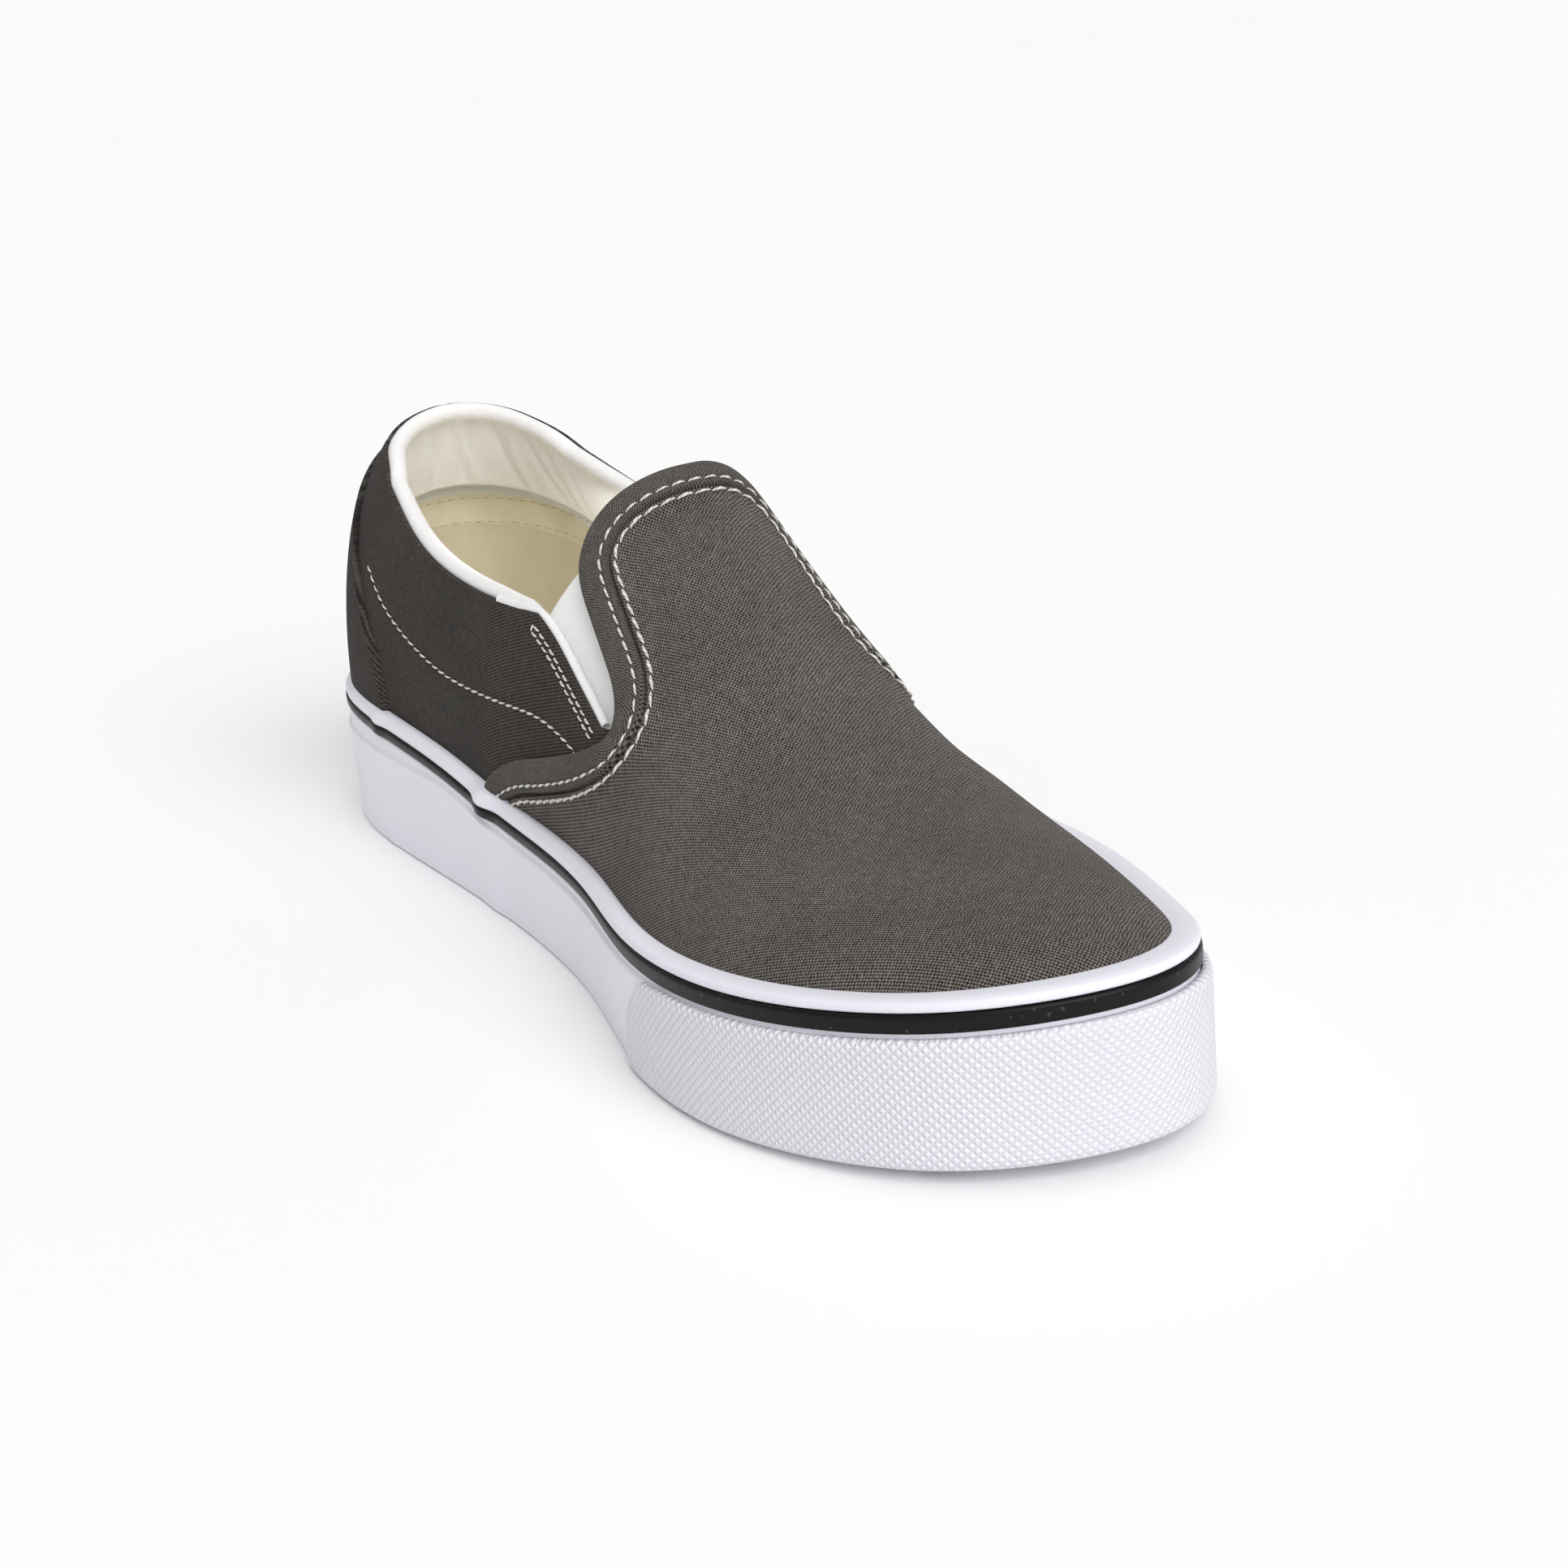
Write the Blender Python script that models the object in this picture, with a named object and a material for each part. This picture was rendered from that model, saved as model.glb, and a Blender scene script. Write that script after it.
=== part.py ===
"""A right-foot slip-on canvas sneaker on a thick vulcanised rubber sole, as its separate pieces.

The shoe stands on z = 0 with the toe towards +X. The wearer's outer side is -Y, the inner side +Y.
Every piece of the upper is cut from one surface, the last: sections across the foot, closed by fans
of rays round the heel and the toe. A place on it is a flat pattern point (x, y), where the share of
the way from the spine to the outline gives the height up the wall.
"""
import bpy
import numpy as np
from mathutils import Vector
from mathutils.geometry import delaunay_2d_cdt

MM = 0.001

# Driving sizes of the shoe
SOLE_LENGTH = 288.5 * MM  # foxing, heel to toe
BALL_WIDTH = 93.0 * MM  # foxing, widest
INSTEP_HEIGHT = 90.5 * MM  # floor to the tongue's top edge
HEEL_HEIGHT = 91.0 * MM  # floor to the collar at the back of the heel
SIDE_RISE = 28.5 * MM  # floor to the lower edge of the black stripe, at the heel
SKIRT = 50.0 * MM  # how steeply the last runs on down past the feather line
TOE_SPRING = 3.5 * MM  # lift of the sole under the toe
FLAT_SHARE = 0.72  # share of the length, from the heel, that lies flat on the floor

# Walls and thicknesses
CLEARANCE = 0.3 * MM  # between two pieces that touch in the real shoe
UPPER_WALL = 1.8 * MM
FOXING_WALL = 3.0 * MM
OUTSOLE_THICKNESS = 6.5 * MM
LUG_DEPTH = 1.5 * MM
LUG_PITCH = 15.0 * MM
LUG_GROOVE = 2.6 * MM
INSOLE_THICKNESS = 3.5 * MM
STRIPE_HEIGHT = 2.4 * MM
STRIP_HEIGHT = 3.1 * MM
STRIPE_PROUD = 0.5 * MM  # beyond the foxing
STRIP_PROUD = 0.2 * MM
RIDGE_HEIGHT = 22.8 * MM  # top of the foxing's outer layer
RIDGE_STEP = 0.6 * MM  # thickness of that layer
BUMPER_THICKNESS = 1.3 * MM
BAND_WIDTH = 8.5 * MM
OVERLAY_GAP = 0.45 * MM  # between the upper and a canvas layer on it
OVERLAY_THICKNESS = 1.1 * MM
GORE_THICKNESS = 1.3 * MM
GORE_LAP = 4.0 * MM  # how far an elastic gore runs on under the canvas
COLLAR_DROP = 20.0 * MM  # depth of the padded lining inside the heel
COLLAR_PAD = 4.0 * MM
COLLAR_ROLL = 3.0 * MM  # height of the roll above the canvas edge
LINING_GAP = 0.75 * MM  # between the canvas and what lies inside it, where both bend sharply
LINING_STOP = 8.0 * MM  # least height of the padding above the insole
COLLAR_STOP = 1.5 * MM  # how far short of the quarter's corner the padding ends

STATIONS = 90  # points round the sole
FINE = 8  # points of the fine outline for each of those
CELL = 7.0 * MM  # spacing of the points inside a cloth panel
SLAB_CELL = 16.0 * MM  # the same in the sole's slabs

# In each table the first column is the share of the length from the heel
# Outline of the foxing: half widths as shares of the ball width
OUTLINE = (
    # along, outer, inner
    (0.030, 0.253, 0.242),
    (0.100, 0.406, 0.372),
    (0.200, 0.439, 0.422),
    (0.330, 0.415, 0.415),
    (0.470, 0.401, 0.409),
    (0.600, 0.431, 0.446),
    (0.720, 0.499, 0.464),
    (0.830, 0.480, 0.412),
    (0.920, 0.358, 0.320),
    (0.975, 0.190, 0.230),
)
TOE_TIP_Y = 0.065 * BALL_WIDTH  # the longest toe lies towards the inner side

# Height of the stripe's lower edge, as a share of the side rise
RISE = (
    # along, height
    (0.0, 1.0),
    (0.2, 0.947),
    (0.33, 0.85),
    (0.42, 0.74),
    (0.5, 0.712),
    (0.62, 0.725),
    (0.75, 0.78),
    (0.87, 0.85),
    (1.0, 0.985),
)
# Top line of the last, as a share of the instep height
TOP_LINE = (
    # along, height
    (0.0, 1.316),
    (0.2, 1.06),
    (0.36, 1.135),
    (0.46, 1.022),
    (0.58, 0.777),
    (0.73, 0.49),
    (0.87, 0.42),
    (1.0, 0.45),
)
# Plan line under the top line, as a share of the ball width
SPINE = (
    # along, sideways
    (0.0, 0.0),
    (0.2, 0.0),
    (0.45, 0.105),
    (0.6, 0.025),
    (0.76, 0.0),
    (1.0, 0.02),
)
# Fullness of the sections on each side: 2 is an ellipse, more is squarer
FULLNESS = (
    # along, outer exponent, inner exponent
    (0.0, 2.18, 1.88),
    (0.3, 2.5, 2.22),
    (0.6, 1.93, 1.82),
    (0.75, 2.2, 1.95),
    (0.88, 3.0, 2.9),
    (1.0, 4.0, 4.0),
)
HEEL_FAN = 0.17  # where the sections give way to rays, shares of the length
TOE_FAN = 0.76
BUMPER_START = 0.705  # rear ends of the toe guard, share of the length
BUMPER_LEAN = 0.04  # how far those ends lean forward, share of the length

# Collar edge, as a share of the heel height
COLLAR = (
    # along, height
    (0.0, 1.015),
    (0.07, 0.96),
    (0.14, 0.918),
    (0.2, 0.85),
    (0.26, 0.784),
    (0.32, 0.744),
    (0.4, 0.722),
    (0.455, 0.72),
)
# Edge of the vamp from the tongue's middle down to the sole
VAMP_EDGE = (
    # along, down the wall
    (0.477, 0.00),
    (0.474, 0.15),
    (0.472, 0.30),
    (0.483, 0.41),
    (0.510, 0.455),
    (0.548, 0.485),
    (0.575, 0.51),
    (0.589, 0.56),
    (0.583, 0.63),
    (0.544, 0.74),
    (0.490, 0.825),
    (0.452, 0.867),
    (0.405, 0.935),
    (0.385, 1.00),
)
GORE_FOOT = 0.60  # share down the wall where the quarter runs under the vamp's edge
# Front edge of the quarter above the gore's foot
QUARTER_EDGE = (
    # along, down the wall
    (0.455, 0.575),
    (0.487, 0.583),
    (0.525, 0.6),
    (0.571, 0.612),
)
# Front edge of the heel stay, as shares of the length and of the heel height
STAY_EDGE = (
    # along, height
    (0.215, 0.33),
    (0.186, 0.51),
    (0.130, 0.67),
    (0.075, 0.82),
)

COLOURS = {
    # name: (red, green, blue, roughness)
    "charcoal_canvas": (0.075, 0.068, 0.062, 0.9),
    "white_lining": (0.78, 0.78, 0.77, 0.7),
    "white_elastic": (0.75, 0.75, 0.74, 0.8),
    "white_rubber": (0.80, 0.80, 0.84, 0.45),
    "black_rubber": (0.012, 0.012, 0.014, 0.4),
    "sole_rubber": (0.72, 0.72, 0.76, 0.55),
    "filler_foam": (0.55, 0.52, 0.46, 0.8),
    "natural_sock": (0.56, 0.49, 0.33, 0.9),
}


def curve(table, at, closed=False):
    """Values of a natural cubic through the rows (knot, value...) of a table; periodic if closed."""
    rows = np.asarray(table, float)
    knots, values = rows[:, 0], rows[:, 1:]
    count, step = len(knots), np.diff(knots)
    matrix, right = np.zeros((count, count)), np.zeros_like(values)
    for i in range(1, count - 1):
        matrix[i, i - 1:i + 2] = step[i - 1], 2 * (step[i - 1] + step[i]), step[i]
        right[i] = 6 * ((values[i + 1] - values[i]) / step[i] - (values[i] - values[i - 1]) / step[i - 1])
    if closed:
        matrix[0, 0], matrix[0, -1] = 1, -1
        matrix[-1, 0], matrix[-1, -1] = 2 * step[0], 2 * step[-1]
        matrix[-1, 1] = step[0]
        matrix[-1, -2] = step[-1]
        right[-1] = 6 * ((values[1] - values[0]) / step[0] - (values[-1] - values[-2]) / step[-1])
    else:
        matrix[0, 0] = matrix[-1, -1] = 1
    bend = np.linalg.solve(matrix, right)
    at = np.clip(np.asarray(at, float), knots[0], knots[-1])
    i = np.clip(np.searchsorted(knots, at, side="right") - 1, 0, count - 2)
    h, a, b = step[i][..., None], (knots[i + 1] - at)[..., None], (at - knots[i])[..., None]
    out = (bend[i] * a ** 3 + bend[i + 1] * b ** 3) / (6 * h)
    out = out + (values[i] / h - bend[i] * h / 6) * a + (values[i + 1] / h - bend[i + 1] * h / 6) * b
    return out[..., 0] if values.shape[1] == 1 else out


def even(points, count, closed=False):
    """The line resampled at count points, evenly spaced along its length."""
    points = np.asarray(points, float)
    if closed:
        points = np.vstack([points, points[:1]])
    run = np.r_[0, np.cumsum(np.linalg.norm(np.diff(points, axis=0), axis=1))]
    at = np.linspace(0, run[-1], count + closed)[:count]
    return np.stack([np.interp(at, run, points[:, k]) for k in range(points.shape[1])], 1)


def inset(loop, distance):
    """The closed plan loop moved inwards by a distance; a negative one moves it outwards."""
    tangent = np.roll(loop, -1, 0) - np.roll(loop, 1, 0)
    outward = np.stack([tangent[:, 1], -tangent[:, 0]], 1)
    outward /= np.linalg.norm(outward, axis=1)[:, None]
    return loop - outward * np.reshape(distance, (-1, 1))


def sole_outline(count):
    """The foxing's plan outline from the heel along the outer side to the toe and back."""
    rows = np.array(OUTLINE)
    outer = np.stack([rows[:, 0] * SOLE_LENGTH, -rows[:, 1] * BALL_WIDTH], 1)
    inner = np.stack([rows[:, 0] * SOLE_LENGTH, rows[:, 2] * BALL_WIDTH], 1)[::-1]
    points = np.vstack([[[0, 0]], outer, [[SOLE_LENGTH, TOE_TIP_Y]], inner, [[0, 0]]])
    knots = np.r_[0, np.cumsum(np.sqrt(np.linalg.norm(np.diff(points, axis=0), axis=1)))]
    fine = curve(np.c_[knots, points], np.linspace(0, knots[-1], 1441), closed=True)[:-1]
    return even(fine, count, closed=True)


def side_rise(x):
    """Height of the black stripe's lower edge at x."""
    return curve(RISE, np.asarray(x) / SOLE_LENGTH) * SIDE_RISE


def floor_lift(x):
    """Height of the sole's underside at x: flat, then a parabola up to the toe spring."""
    past = np.clip((np.asarray(x) / SOLE_LENGTH - FLAT_SHARE) / (1 - FLAT_SHARE), 0, None)
    return TOE_SPRING * past ** 2


UPPER_INSET = FOXING_WALL + CLEARANCE
FINE_OUTLINE = sole_outline(STATIONS * FINE)
FEATHER = inset(FINE_OUTLINE, UPPER_INSET)
HEEL_X, TOE_X = HEEL_FAN * SOLE_LENGTH, TOE_FAN * SOLE_LENGTH


def spine_y(x):
    """Plan position of the spine at x."""
    return curve(SPINE, np.asarray(x) / SOLE_LENGTH) * BALL_WIDTH


def side_line(side):
    """One side of the feather line as points in order of x; side is -1 for outer, 1 for inner."""
    keep = FEATHER[(FEATHER[:, 1] - spine_y(FEATHER[:, 0])) * side > 0]
    return keep[np.argsort(keep[:, 0])]


SIDE_LINES = {side: side_line(side) for side in (-1, 1)}


def fan_rays(centre_x, way):
    """Angle from the long axis and length of each ray from a fan's centre to the feather line."""
    centre = np.array([centre_x, float(spine_y(centre_x))])
    ray = FEATHER - centre
    angle = np.arctan2(ray[:, 1], way * ray[:, 0])
    order = np.argsort(angle)
    return centre, angle[order], np.linalg.norm(ray, axis=1)[order]


FANS = {-1: fan_rays(HEEL_X, -1), 1: fan_rays(TOE_X, 1)}


def rays(pattern):
    """Spine point, feather point and share of the way between them, for pattern points (x, y)."""
    x, y = pattern[..., 0], pattern[..., 1]
    middle = np.clip(x, HEEL_X, TOE_X)
    start = np.stack([middle, spine_y(middle)], -1)
    outer = np.interp(x, SIDE_LINES[-1][:, 0], SIDE_LINES[-1][:, 1])
    inner = np.interp(x, SIDE_LINES[1][:, 0], SIDE_LINES[1][:, 1])
    end = np.stack([x, np.where(y < start[..., 1], outer, inner)], -1)
    for way, inside in ((-1, x < HEEL_X), (1, x > TOE_X)):
        centre, angles, lengths = FANS[way]
        ray = pattern - centre
        angle = np.arctan2(ray[..., 1], way * ray[..., 0])
        length = np.interp(angle, angles, lengths)
        fan_end = centre + np.stack([way * length * np.cos(angle), length * np.sin(angle)], -1)
        end = np.where(inside[..., None], fan_end, end)
    share = np.linalg.norm(pattern - start, axis=-1) / np.linalg.norm(end - start, axis=-1)
    return start, end, share


def last_point(pattern):
    """The last at pattern points: out by cos(t)^(2/n), up by sin(t); t is 90 degrees at the spine.

    The fullness n turns from the outer side's to the inner side's with the direction of the ray.
    """
    start, end, share = rays(pattern)
    turn = (1 - np.minimum(share, 1)) * np.pi / 2
    ray = end - start
    inner = 0.5 + 0.5 * ray[..., 1] / np.linalg.norm(ray, axis=-1)
    both = curve(FULLNESS, end[..., 0] / SOLE_LENGTH)
    fullness = both[..., 0] * (1 - inner) + both[..., 1] * inner
    plan = start + (end - start) * (np.cos(turn) ** (2 / fullness))[..., None]
    base = side_rise(end[..., 0])
    top = curve(TOP_LINE, plan[..., 0] / SOLE_LENGTH) * INSTEP_HEIGHT
    z = base + (top - base) * np.sin(turn) - np.maximum(share - 1, 0) * SKIRT
    return np.concatenate([plan, z[..., None]], -1)


def on_last(pattern, off):
    """The last at pattern points, moved off along its outward normal."""
    pattern = np.asarray(pattern, float)
    step = 1.2 * MM
    along = last_point(pattern + [step, 0]) - last_point(pattern - [step, 0])
    across = last_point(pattern + [0, step]) - last_point(pattern - [0, step])
    normal = np.cross(along, across)
    normal /= np.linalg.norm(normal, axis=-1, keepdims=True)
    return last_point(pattern) + normal * np.reshape(off, (-1, 1))


def at_share(x, share, side):
    """Pattern points at x, a share of the way from the spine down to the feather line on one side."""
    x = np.asarray(x, float)
    line = SIDE_LINES[side]
    spine = spine_y(np.clip(x, HEEL_X, TOE_X))
    return np.stack([x, spine + (np.interp(x, line[:, 0], line[:, 1]) - spine) * share], -1)


def at_height(x, height, side):
    """Pattern points on the heel's rays or the sections whose height on the last is the one asked for."""
    x, height = np.asarray(x, float), np.asarray(height, float)
    low, high = np.zeros_like(x), np.ones_like(x)
    centre, angles, lengths = FANS[-1]
    angle = side * np.arccos(np.clip((HEEL_X - x) / HEEL_X, -1, 1))
    length = np.interp(angle, angles, lengths)
    ray = np.stack([-length * np.cos(angle), length * np.sin(angle)], -1)
    for _ in range(30):
        share = (low + high) / 2
        point = np.where((x < HEEL_X)[:, None], centre + ray * share[:, None], at_share(x, share, side))
        above = last_point(point)[:, 2] > height
        low, high = np.where(above, share, low), np.where(above, high, share)
    return point


def collar_line(side, count=25):
    """Pattern points of the collar edge from the back of the heel to the quarter's corner."""
    x = np.linspace(0, COLLAR[-1][0] * SOLE_LENGTH, 120)
    height = curve(COLLAR, x / SOLE_LENGTH) * HEEL_HEIGHT
    line = at_height(x, height, side)
    solid = last_point(line)
    run = np.r_[0, np.cumsum(np.linalg.norm(np.diff(solid, axis=0), axis=1))]
    at = np.linspace(0, run[-1], count)
    return np.stack([np.interp(at, run, line[:, k]) for k in range(2)], 1)


def table_line(table, side, count):
    """Pattern points of a smooth line through rows (share of the length, share down the wall)."""
    rows = np.array(table)
    knots = np.arange(len(rows), dtype=float)
    fine = curve(np.c_[knots, rows], np.linspace(0, knots[-1], 300))
    line = at_share(fine[:, 0] * SOLE_LENGTH, np.clip(fine[:, 1], 0, 1), side)
    solid = last_point(line)
    run = np.r_[0, np.cumsum(np.linalg.norm(np.diff(solid, axis=0), axis=1))]
    at = np.linspace(0, run[-1], count)
    return np.stack([np.interp(at, run, line[:, k]) for k in range(2)], 1)


def shift_line(line, distance):
    """A pattern line moved sideways over the last by a real distance, to the left of its run."""
    solid = last_point(line)
    tangent = np.gradient(solid, axis=0)
    tangent /= np.linalg.norm(tangent, axis=1)[:, None]
    out = line.copy()
    steps = 6
    for _ in range(steps):
        small = 0.4 * MM
        here = last_point(out)
        by_x = (last_point(out + [small, 0]) - here) / small
        by_y = (last_point(out + [0, small]) - here) / small
        normal = np.cross(by_x, by_y)
        normal /= np.linalg.norm(normal, axis=1)[:, None]
        left = np.cross(normal, tangent)
        # least squares: pattern step whose image is the sideways step
        a, b, c = (by_x * by_x).sum(1), (by_x * by_y).sum(1), (by_y * by_y).sum(1)
        p, q = (by_x * left).sum(1), (by_y * left).sum(1)
        det = a * c - b * b
        out = out + np.stack([(c * p - b * q) / det, (a * q - b * p) / det], 1) * distance / steps
    return out


def inside_polygon(points, polygon):
    """Which plan points lie inside a closed polygon, by counting edge crossings."""
    x, y = points[:, 0][:, None], points[:, 1][:, None]
    x0, y0 = polygon[:, 0][None], polygon[:, 1][None]
    x1, y1 = np.roll(polygon, -1, 0).T[:, None]
    spans = (y0 > y) != (y1 > y)
    with np.errstate(divide="ignore", invalid="ignore"):
        cross = x0 + (y - y0) * (x1 - x0) / (y1 - y0)
    return (spans & (x < cross)).sum(1) % 2 == 1


def edge_distance(points, polygon):
    """Distance of each plan point from a closed polygon's nearest edge."""
    start, end = polygon[None], np.roll(polygon, -1, 0)[None]
    span = end - start
    along = ((points[:, None] - start) * span).sum(-1) / np.maximum((span ** 2).sum(-1), 1e-18)
    near = start + span * np.clip(along, 0, 1)[..., None]
    return np.linalg.norm(points[:, None] - near, axis=-1).min(1)


def plan_mesh(outline, hole, grid):
    """Triangles between a plan outline and an optional hole, with grid points set inside."""
    rings = [np.asarray(outline)] + ([np.asarray(hole)] if hole is not None else [])
    keep = inside_polygon(grid, rings[0])
    for ring in rings:
        spacing = np.linalg.norm(np.roll(ring, -1, 0) - ring, axis=1).mean()
        keep &= edge_distance(grid, ring) > min(0.45 * CELL, 0.7 * spacing)
    if hole is not None:
        keep &= ~inside_polygon(grid, rings[1])
    points = np.vstack(rings + [grid[keep]])
    edges, start = [], 0
    for ring in rings:
        ids = start + np.arange(len(ring))
        edges += list(zip(ids.tolist(), np.roll(ids, -1).tolist()))
        start += len(ring)
    scale = 1000.0  # the triangulation runs in millimetres
    made = delaunay_2d_cdt([Vector(p * scale) for p in points], edges, [], 1 if hole is None else 0, 1e-6)
    verts, faces = np.array([v[:] for v in made[0]]) / scale, np.array([f[:] for f in made[2]])
    middle = verts[faces].mean(1)
    good = inside_polygon(middle, rings[0])
    if hole is not None:
        good &= ~inside_polygon(middle, rings[1])
    return verts, faces[good]


def walled(verts_top, verts_bottom, faces):
    """A closed shell from a triangle sheet and its copy below, joined along the sheet's free edges."""
    count = len(verts_top)
    plan = faces
    edges = np.vstack([plan[:, [0, 1]], plan[:, [1, 2]], plan[:, [2, 0]]])
    keys = {(int(a), int(b)) for a, b in edges}
    rim = [(a, b) for a, b in keys if (b, a) not in keys]
    shell = [tuple(f) for f in plan.tolist()]
    shell += [(a + count, c + count, b + count) for a, b, c in plan.tolist()]
    shell += [(b, a, a + count, b + count) for a, b in rim]
    return np.vstack([verts_top, verts_bottom]), shell


def upward(verts, faces):
    """The faces turned so that each runs counter-clockwise in plan."""
    p = verts[faces]
    area = np.cross(p[:, 1, :2] - p[:, 0, :2], p[:, 2, :2] - p[:, 0, :2])
    return np.where((area < 0)[:, None], faces[:, ::-1], faces)


def plan_grid(spacing):
    """A triangular grid of plan points over the whole sole."""
    half = BALL_WIDTH * 0.6
    x, y = np.meshgrid(np.arange(0, SOLE_LENGTH, spacing), np.arange(-half, half, spacing), indexing="ij")
    y = y + np.where((np.arange(x.shape[0]) % 2 == 0)[:, None], 0, spacing / 2)
    return np.stack([x.ravel(), y.ravel()], 1)


def last_grid():
    """Pattern points at even shares down both sides of every section, for the upper's inside."""
    x = np.arange(CELL, SOLE_LENGTH - 2 * MM, CELL)
    share = np.linspace(-0.93, 0.93, 17)
    outer = at_share(np.repeat(x, 8), np.tile(-share[:8], len(x)), -1)
    inner = at_share(np.repeat(x, 9), np.tile(share[8:], len(x)), 1)
    return np.vstack([outer, inner])


def panel(outline, low, high, hole=None, grid=None):
    """A cloth panel: a pattern outline cut from the last between two distances off it."""
    grid = np.empty((0, 2)) if grid is None else grid
    flat, faces = plan_mesh(outline, hole, grid)
    faces = upward(flat, faces)
    return walled(on_last(flat, high), on_last(flat, low), faces)


def slab(loop, bottom, top, spacing):
    """A solid with a plan outline between two heights that vary along the foot."""
    flat, faces = plan_mesh(loop, None, plan_grid(spacing))
    faces = upward(flat, faces)
    high = np.c_[flat, top(flat[:, 0])]
    low = np.c_[flat, bottom(flat[:, 0])]
    return walled(high, low, faces)


def ring(profile):
    """A closed band round the sole; profile(loop) gives rows (inset, height) for every station."""
    loop = sole_outline(STATIONS)
    insets, heights = profile(loop)
    rows, sides = len(loop), insets.shape[1]
    verts = np.empty((rows, sides, 3))
    for k in range(sides):
        verts[:, k, :2] = inset(loop, insets[:, k])
        verts[:, k, 2] = heights[:, k]
    return verts.reshape(-1, 3), swept(rows, sides, closed=True)


def swept(rows, sides, closed):
    """Faces of a profile with a number of sides carried over rows of stations; the ends are capped."""
    faces = []
    for i in range(rows if closed else rows - 1):
        j = (i + 1) % rows
        for k in range(sides):
            m = (k + 1) % sides
            faces.append((i * sides + k, j * sides + k, j * sides + m, i * sides + m))
    if not closed:
        faces.append(tuple(range(sides)))
        faces.append(tuple((rows - 1) * sides + k for k in reversed(range(sides))))
    return faces


def columns(loop, *pairs):
    """Stacks (inset, height) pairs, each a number or one value per station, into two tables."""
    blank = np.zeros(len(loop))
    insets = np.stack([blank + a for a, _ in pairs], 1)
    heights = np.stack([blank + b for _, b in pairs], 1)
    return insets, heights


def foxing_profile(loop):
    """The white side wall: a thicker outer layer up to the moulded line, then the bare wall."""
    low = floor_lift(loop[:, 0]) + 0.5 * MM
    high = side_rise(loop[:, 0]) - CLEARANCE / 2
    line = np.minimum(RIDGE_HEIGHT, high - 1.8 * MM)
    return columns(
        loop,
        (FOXING_WALL, low),
        (0.4 * MM, low),
        (0.0, low + 0.5 * MM),
        (0.0, line - 0.5 * MM),
        (RIDGE_STEP, line),
        (RIDGE_STEP, high),
        (FOXING_WALL, high),
    )


def stripe_profile(loop):
    """The black stripe, proud of the wall below it, with eased edges."""
    low = side_rise(loop[:, 0]) + CLEARANCE / 2
    high = low + STRIPE_HEIGHT - CLEARANCE
    ease = 0.5 * MM
    out = RIDGE_STEP - STRIPE_PROUD
    return columns(
        loop,
        (FOXING_WALL, low),
        (out + ease, low),
        (out, low + ease),
        (out, high - ease),
        (out + ease, high),
        (FOXING_WALL, high),
    )


def wall_inset(loop, rise):
    """How far inside each outline station the upper's face is, at a rise above the feather line."""
    feather = FEATHER[::FINE]
    start, end, _ = rays(feather)
    low, high = np.zeros(len(loop)), np.ones(len(loop))
    for _ in range(30):
        test = (low + high) / 2
        point = on_last(start + (end - start) * test[:, None], LINING_GAP)
        above = point[:, 2] > side_rise(feather[:, 0]) + rise
        low, high = np.where(above, test, low), np.where(above, high, test)
    outward_step = loop - inset(loop, 1.0)
    return ((loop - point[:, :2]) * outward_step).sum(1)


def strip_profile(loop):
    """The white strip above the stripe, its top edge rounded in to meet the canvas."""
    low = side_rise(loop[:, 0]) + STRIPE_HEIGHT + CLEARANCE / 2
    high = low + STRIP_HEIGHT - CLEARANCE
    out = RIDGE_STEP - STRIP_PROUD
    inner = np.maximum(wall_inset(loop, STRIPE_HEIGHT + STRIP_HEIGHT), FOXING_WALL)
    return columns(
        loop,
        (FOXING_WALL, low),
        (out + 0.3 * MM, low),
        (out, low + 0.5 * MM),
        (out, low + 0.5 * STRIP_HEIGHT),
        (out + 0.9 * MM, high - 0.3 * MM),
        (out + 1.8 * MM, high),
        (inner, high - 0.2 * MM),
    )


def toe_bumper():
    """The textured guard round the toe, its two rear ends leaning forward as they rise."""
    loop = sole_outline(STATIONS * 4)
    share = loop[:, 0] / SOLE_LENGTH
    toe = np.flatnonzero(share > BUMPER_START)
    path = even(loop[toe], 37)
    rows = len(path)
    tangent = np.gradient(path, axis=0)
    tangent /= np.linalg.norm(tangent, axis=1)[:, None]
    outward = np.stack([tangent[:, 1], -tangent[:, 0]], 1)
    low = floor_lift(path[:, 0]) + 0.6 * MM
    high = side_rise(path[:, 0]) - 0.6 * MM
    heights = (0.0, 0.04, 0.3, 0.7, 0.95, 1.0)
    outer, inner = [], []
    along = np.arange(rows)
    for k, height in enumerate(heights):
        z = low + (high - low) * height
        lean = BUMPER_LEAN * SOLE_LENGTH * height ** 2.2
        shift = np.zeros((rows, 2))
        for edge, sign in ((0, 1), (rows - 1, -1)):
            fade = np.clip(1 - np.abs(along - edge) / 6, 0, 1)
            shift += tangent[edge] * (sign * lean * fade)[:, None]
        base = path + shift
        thick = BUMPER_THICKNESS - (0.4 * MM if height in (0.0, 1.0) else 0.0)
        outer.append(np.c_[base + outward * (CLEARANCE + thick), z])
        inner.append(np.c_[base + outward * CLEARANCE, z])
    verts = np.stack(outer + inner[::-1], 1)
    return verts.reshape(-1, 3), swept(rows, 2 * len(heights), closed=False)


def closed_edge(lines):
    """A closed pattern outline from the outer side's lines and their mirror on the inner side."""
    outer = [line(-1) for line in lines]
    inner = [line(1)[::-1] for line in lines[::-1]]
    points = np.vstack(outer + inner)
    keep = np.linalg.norm(points - np.roll(points, 1, 0), axis=1) > 0.2 * MM
    return points[keep]


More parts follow.
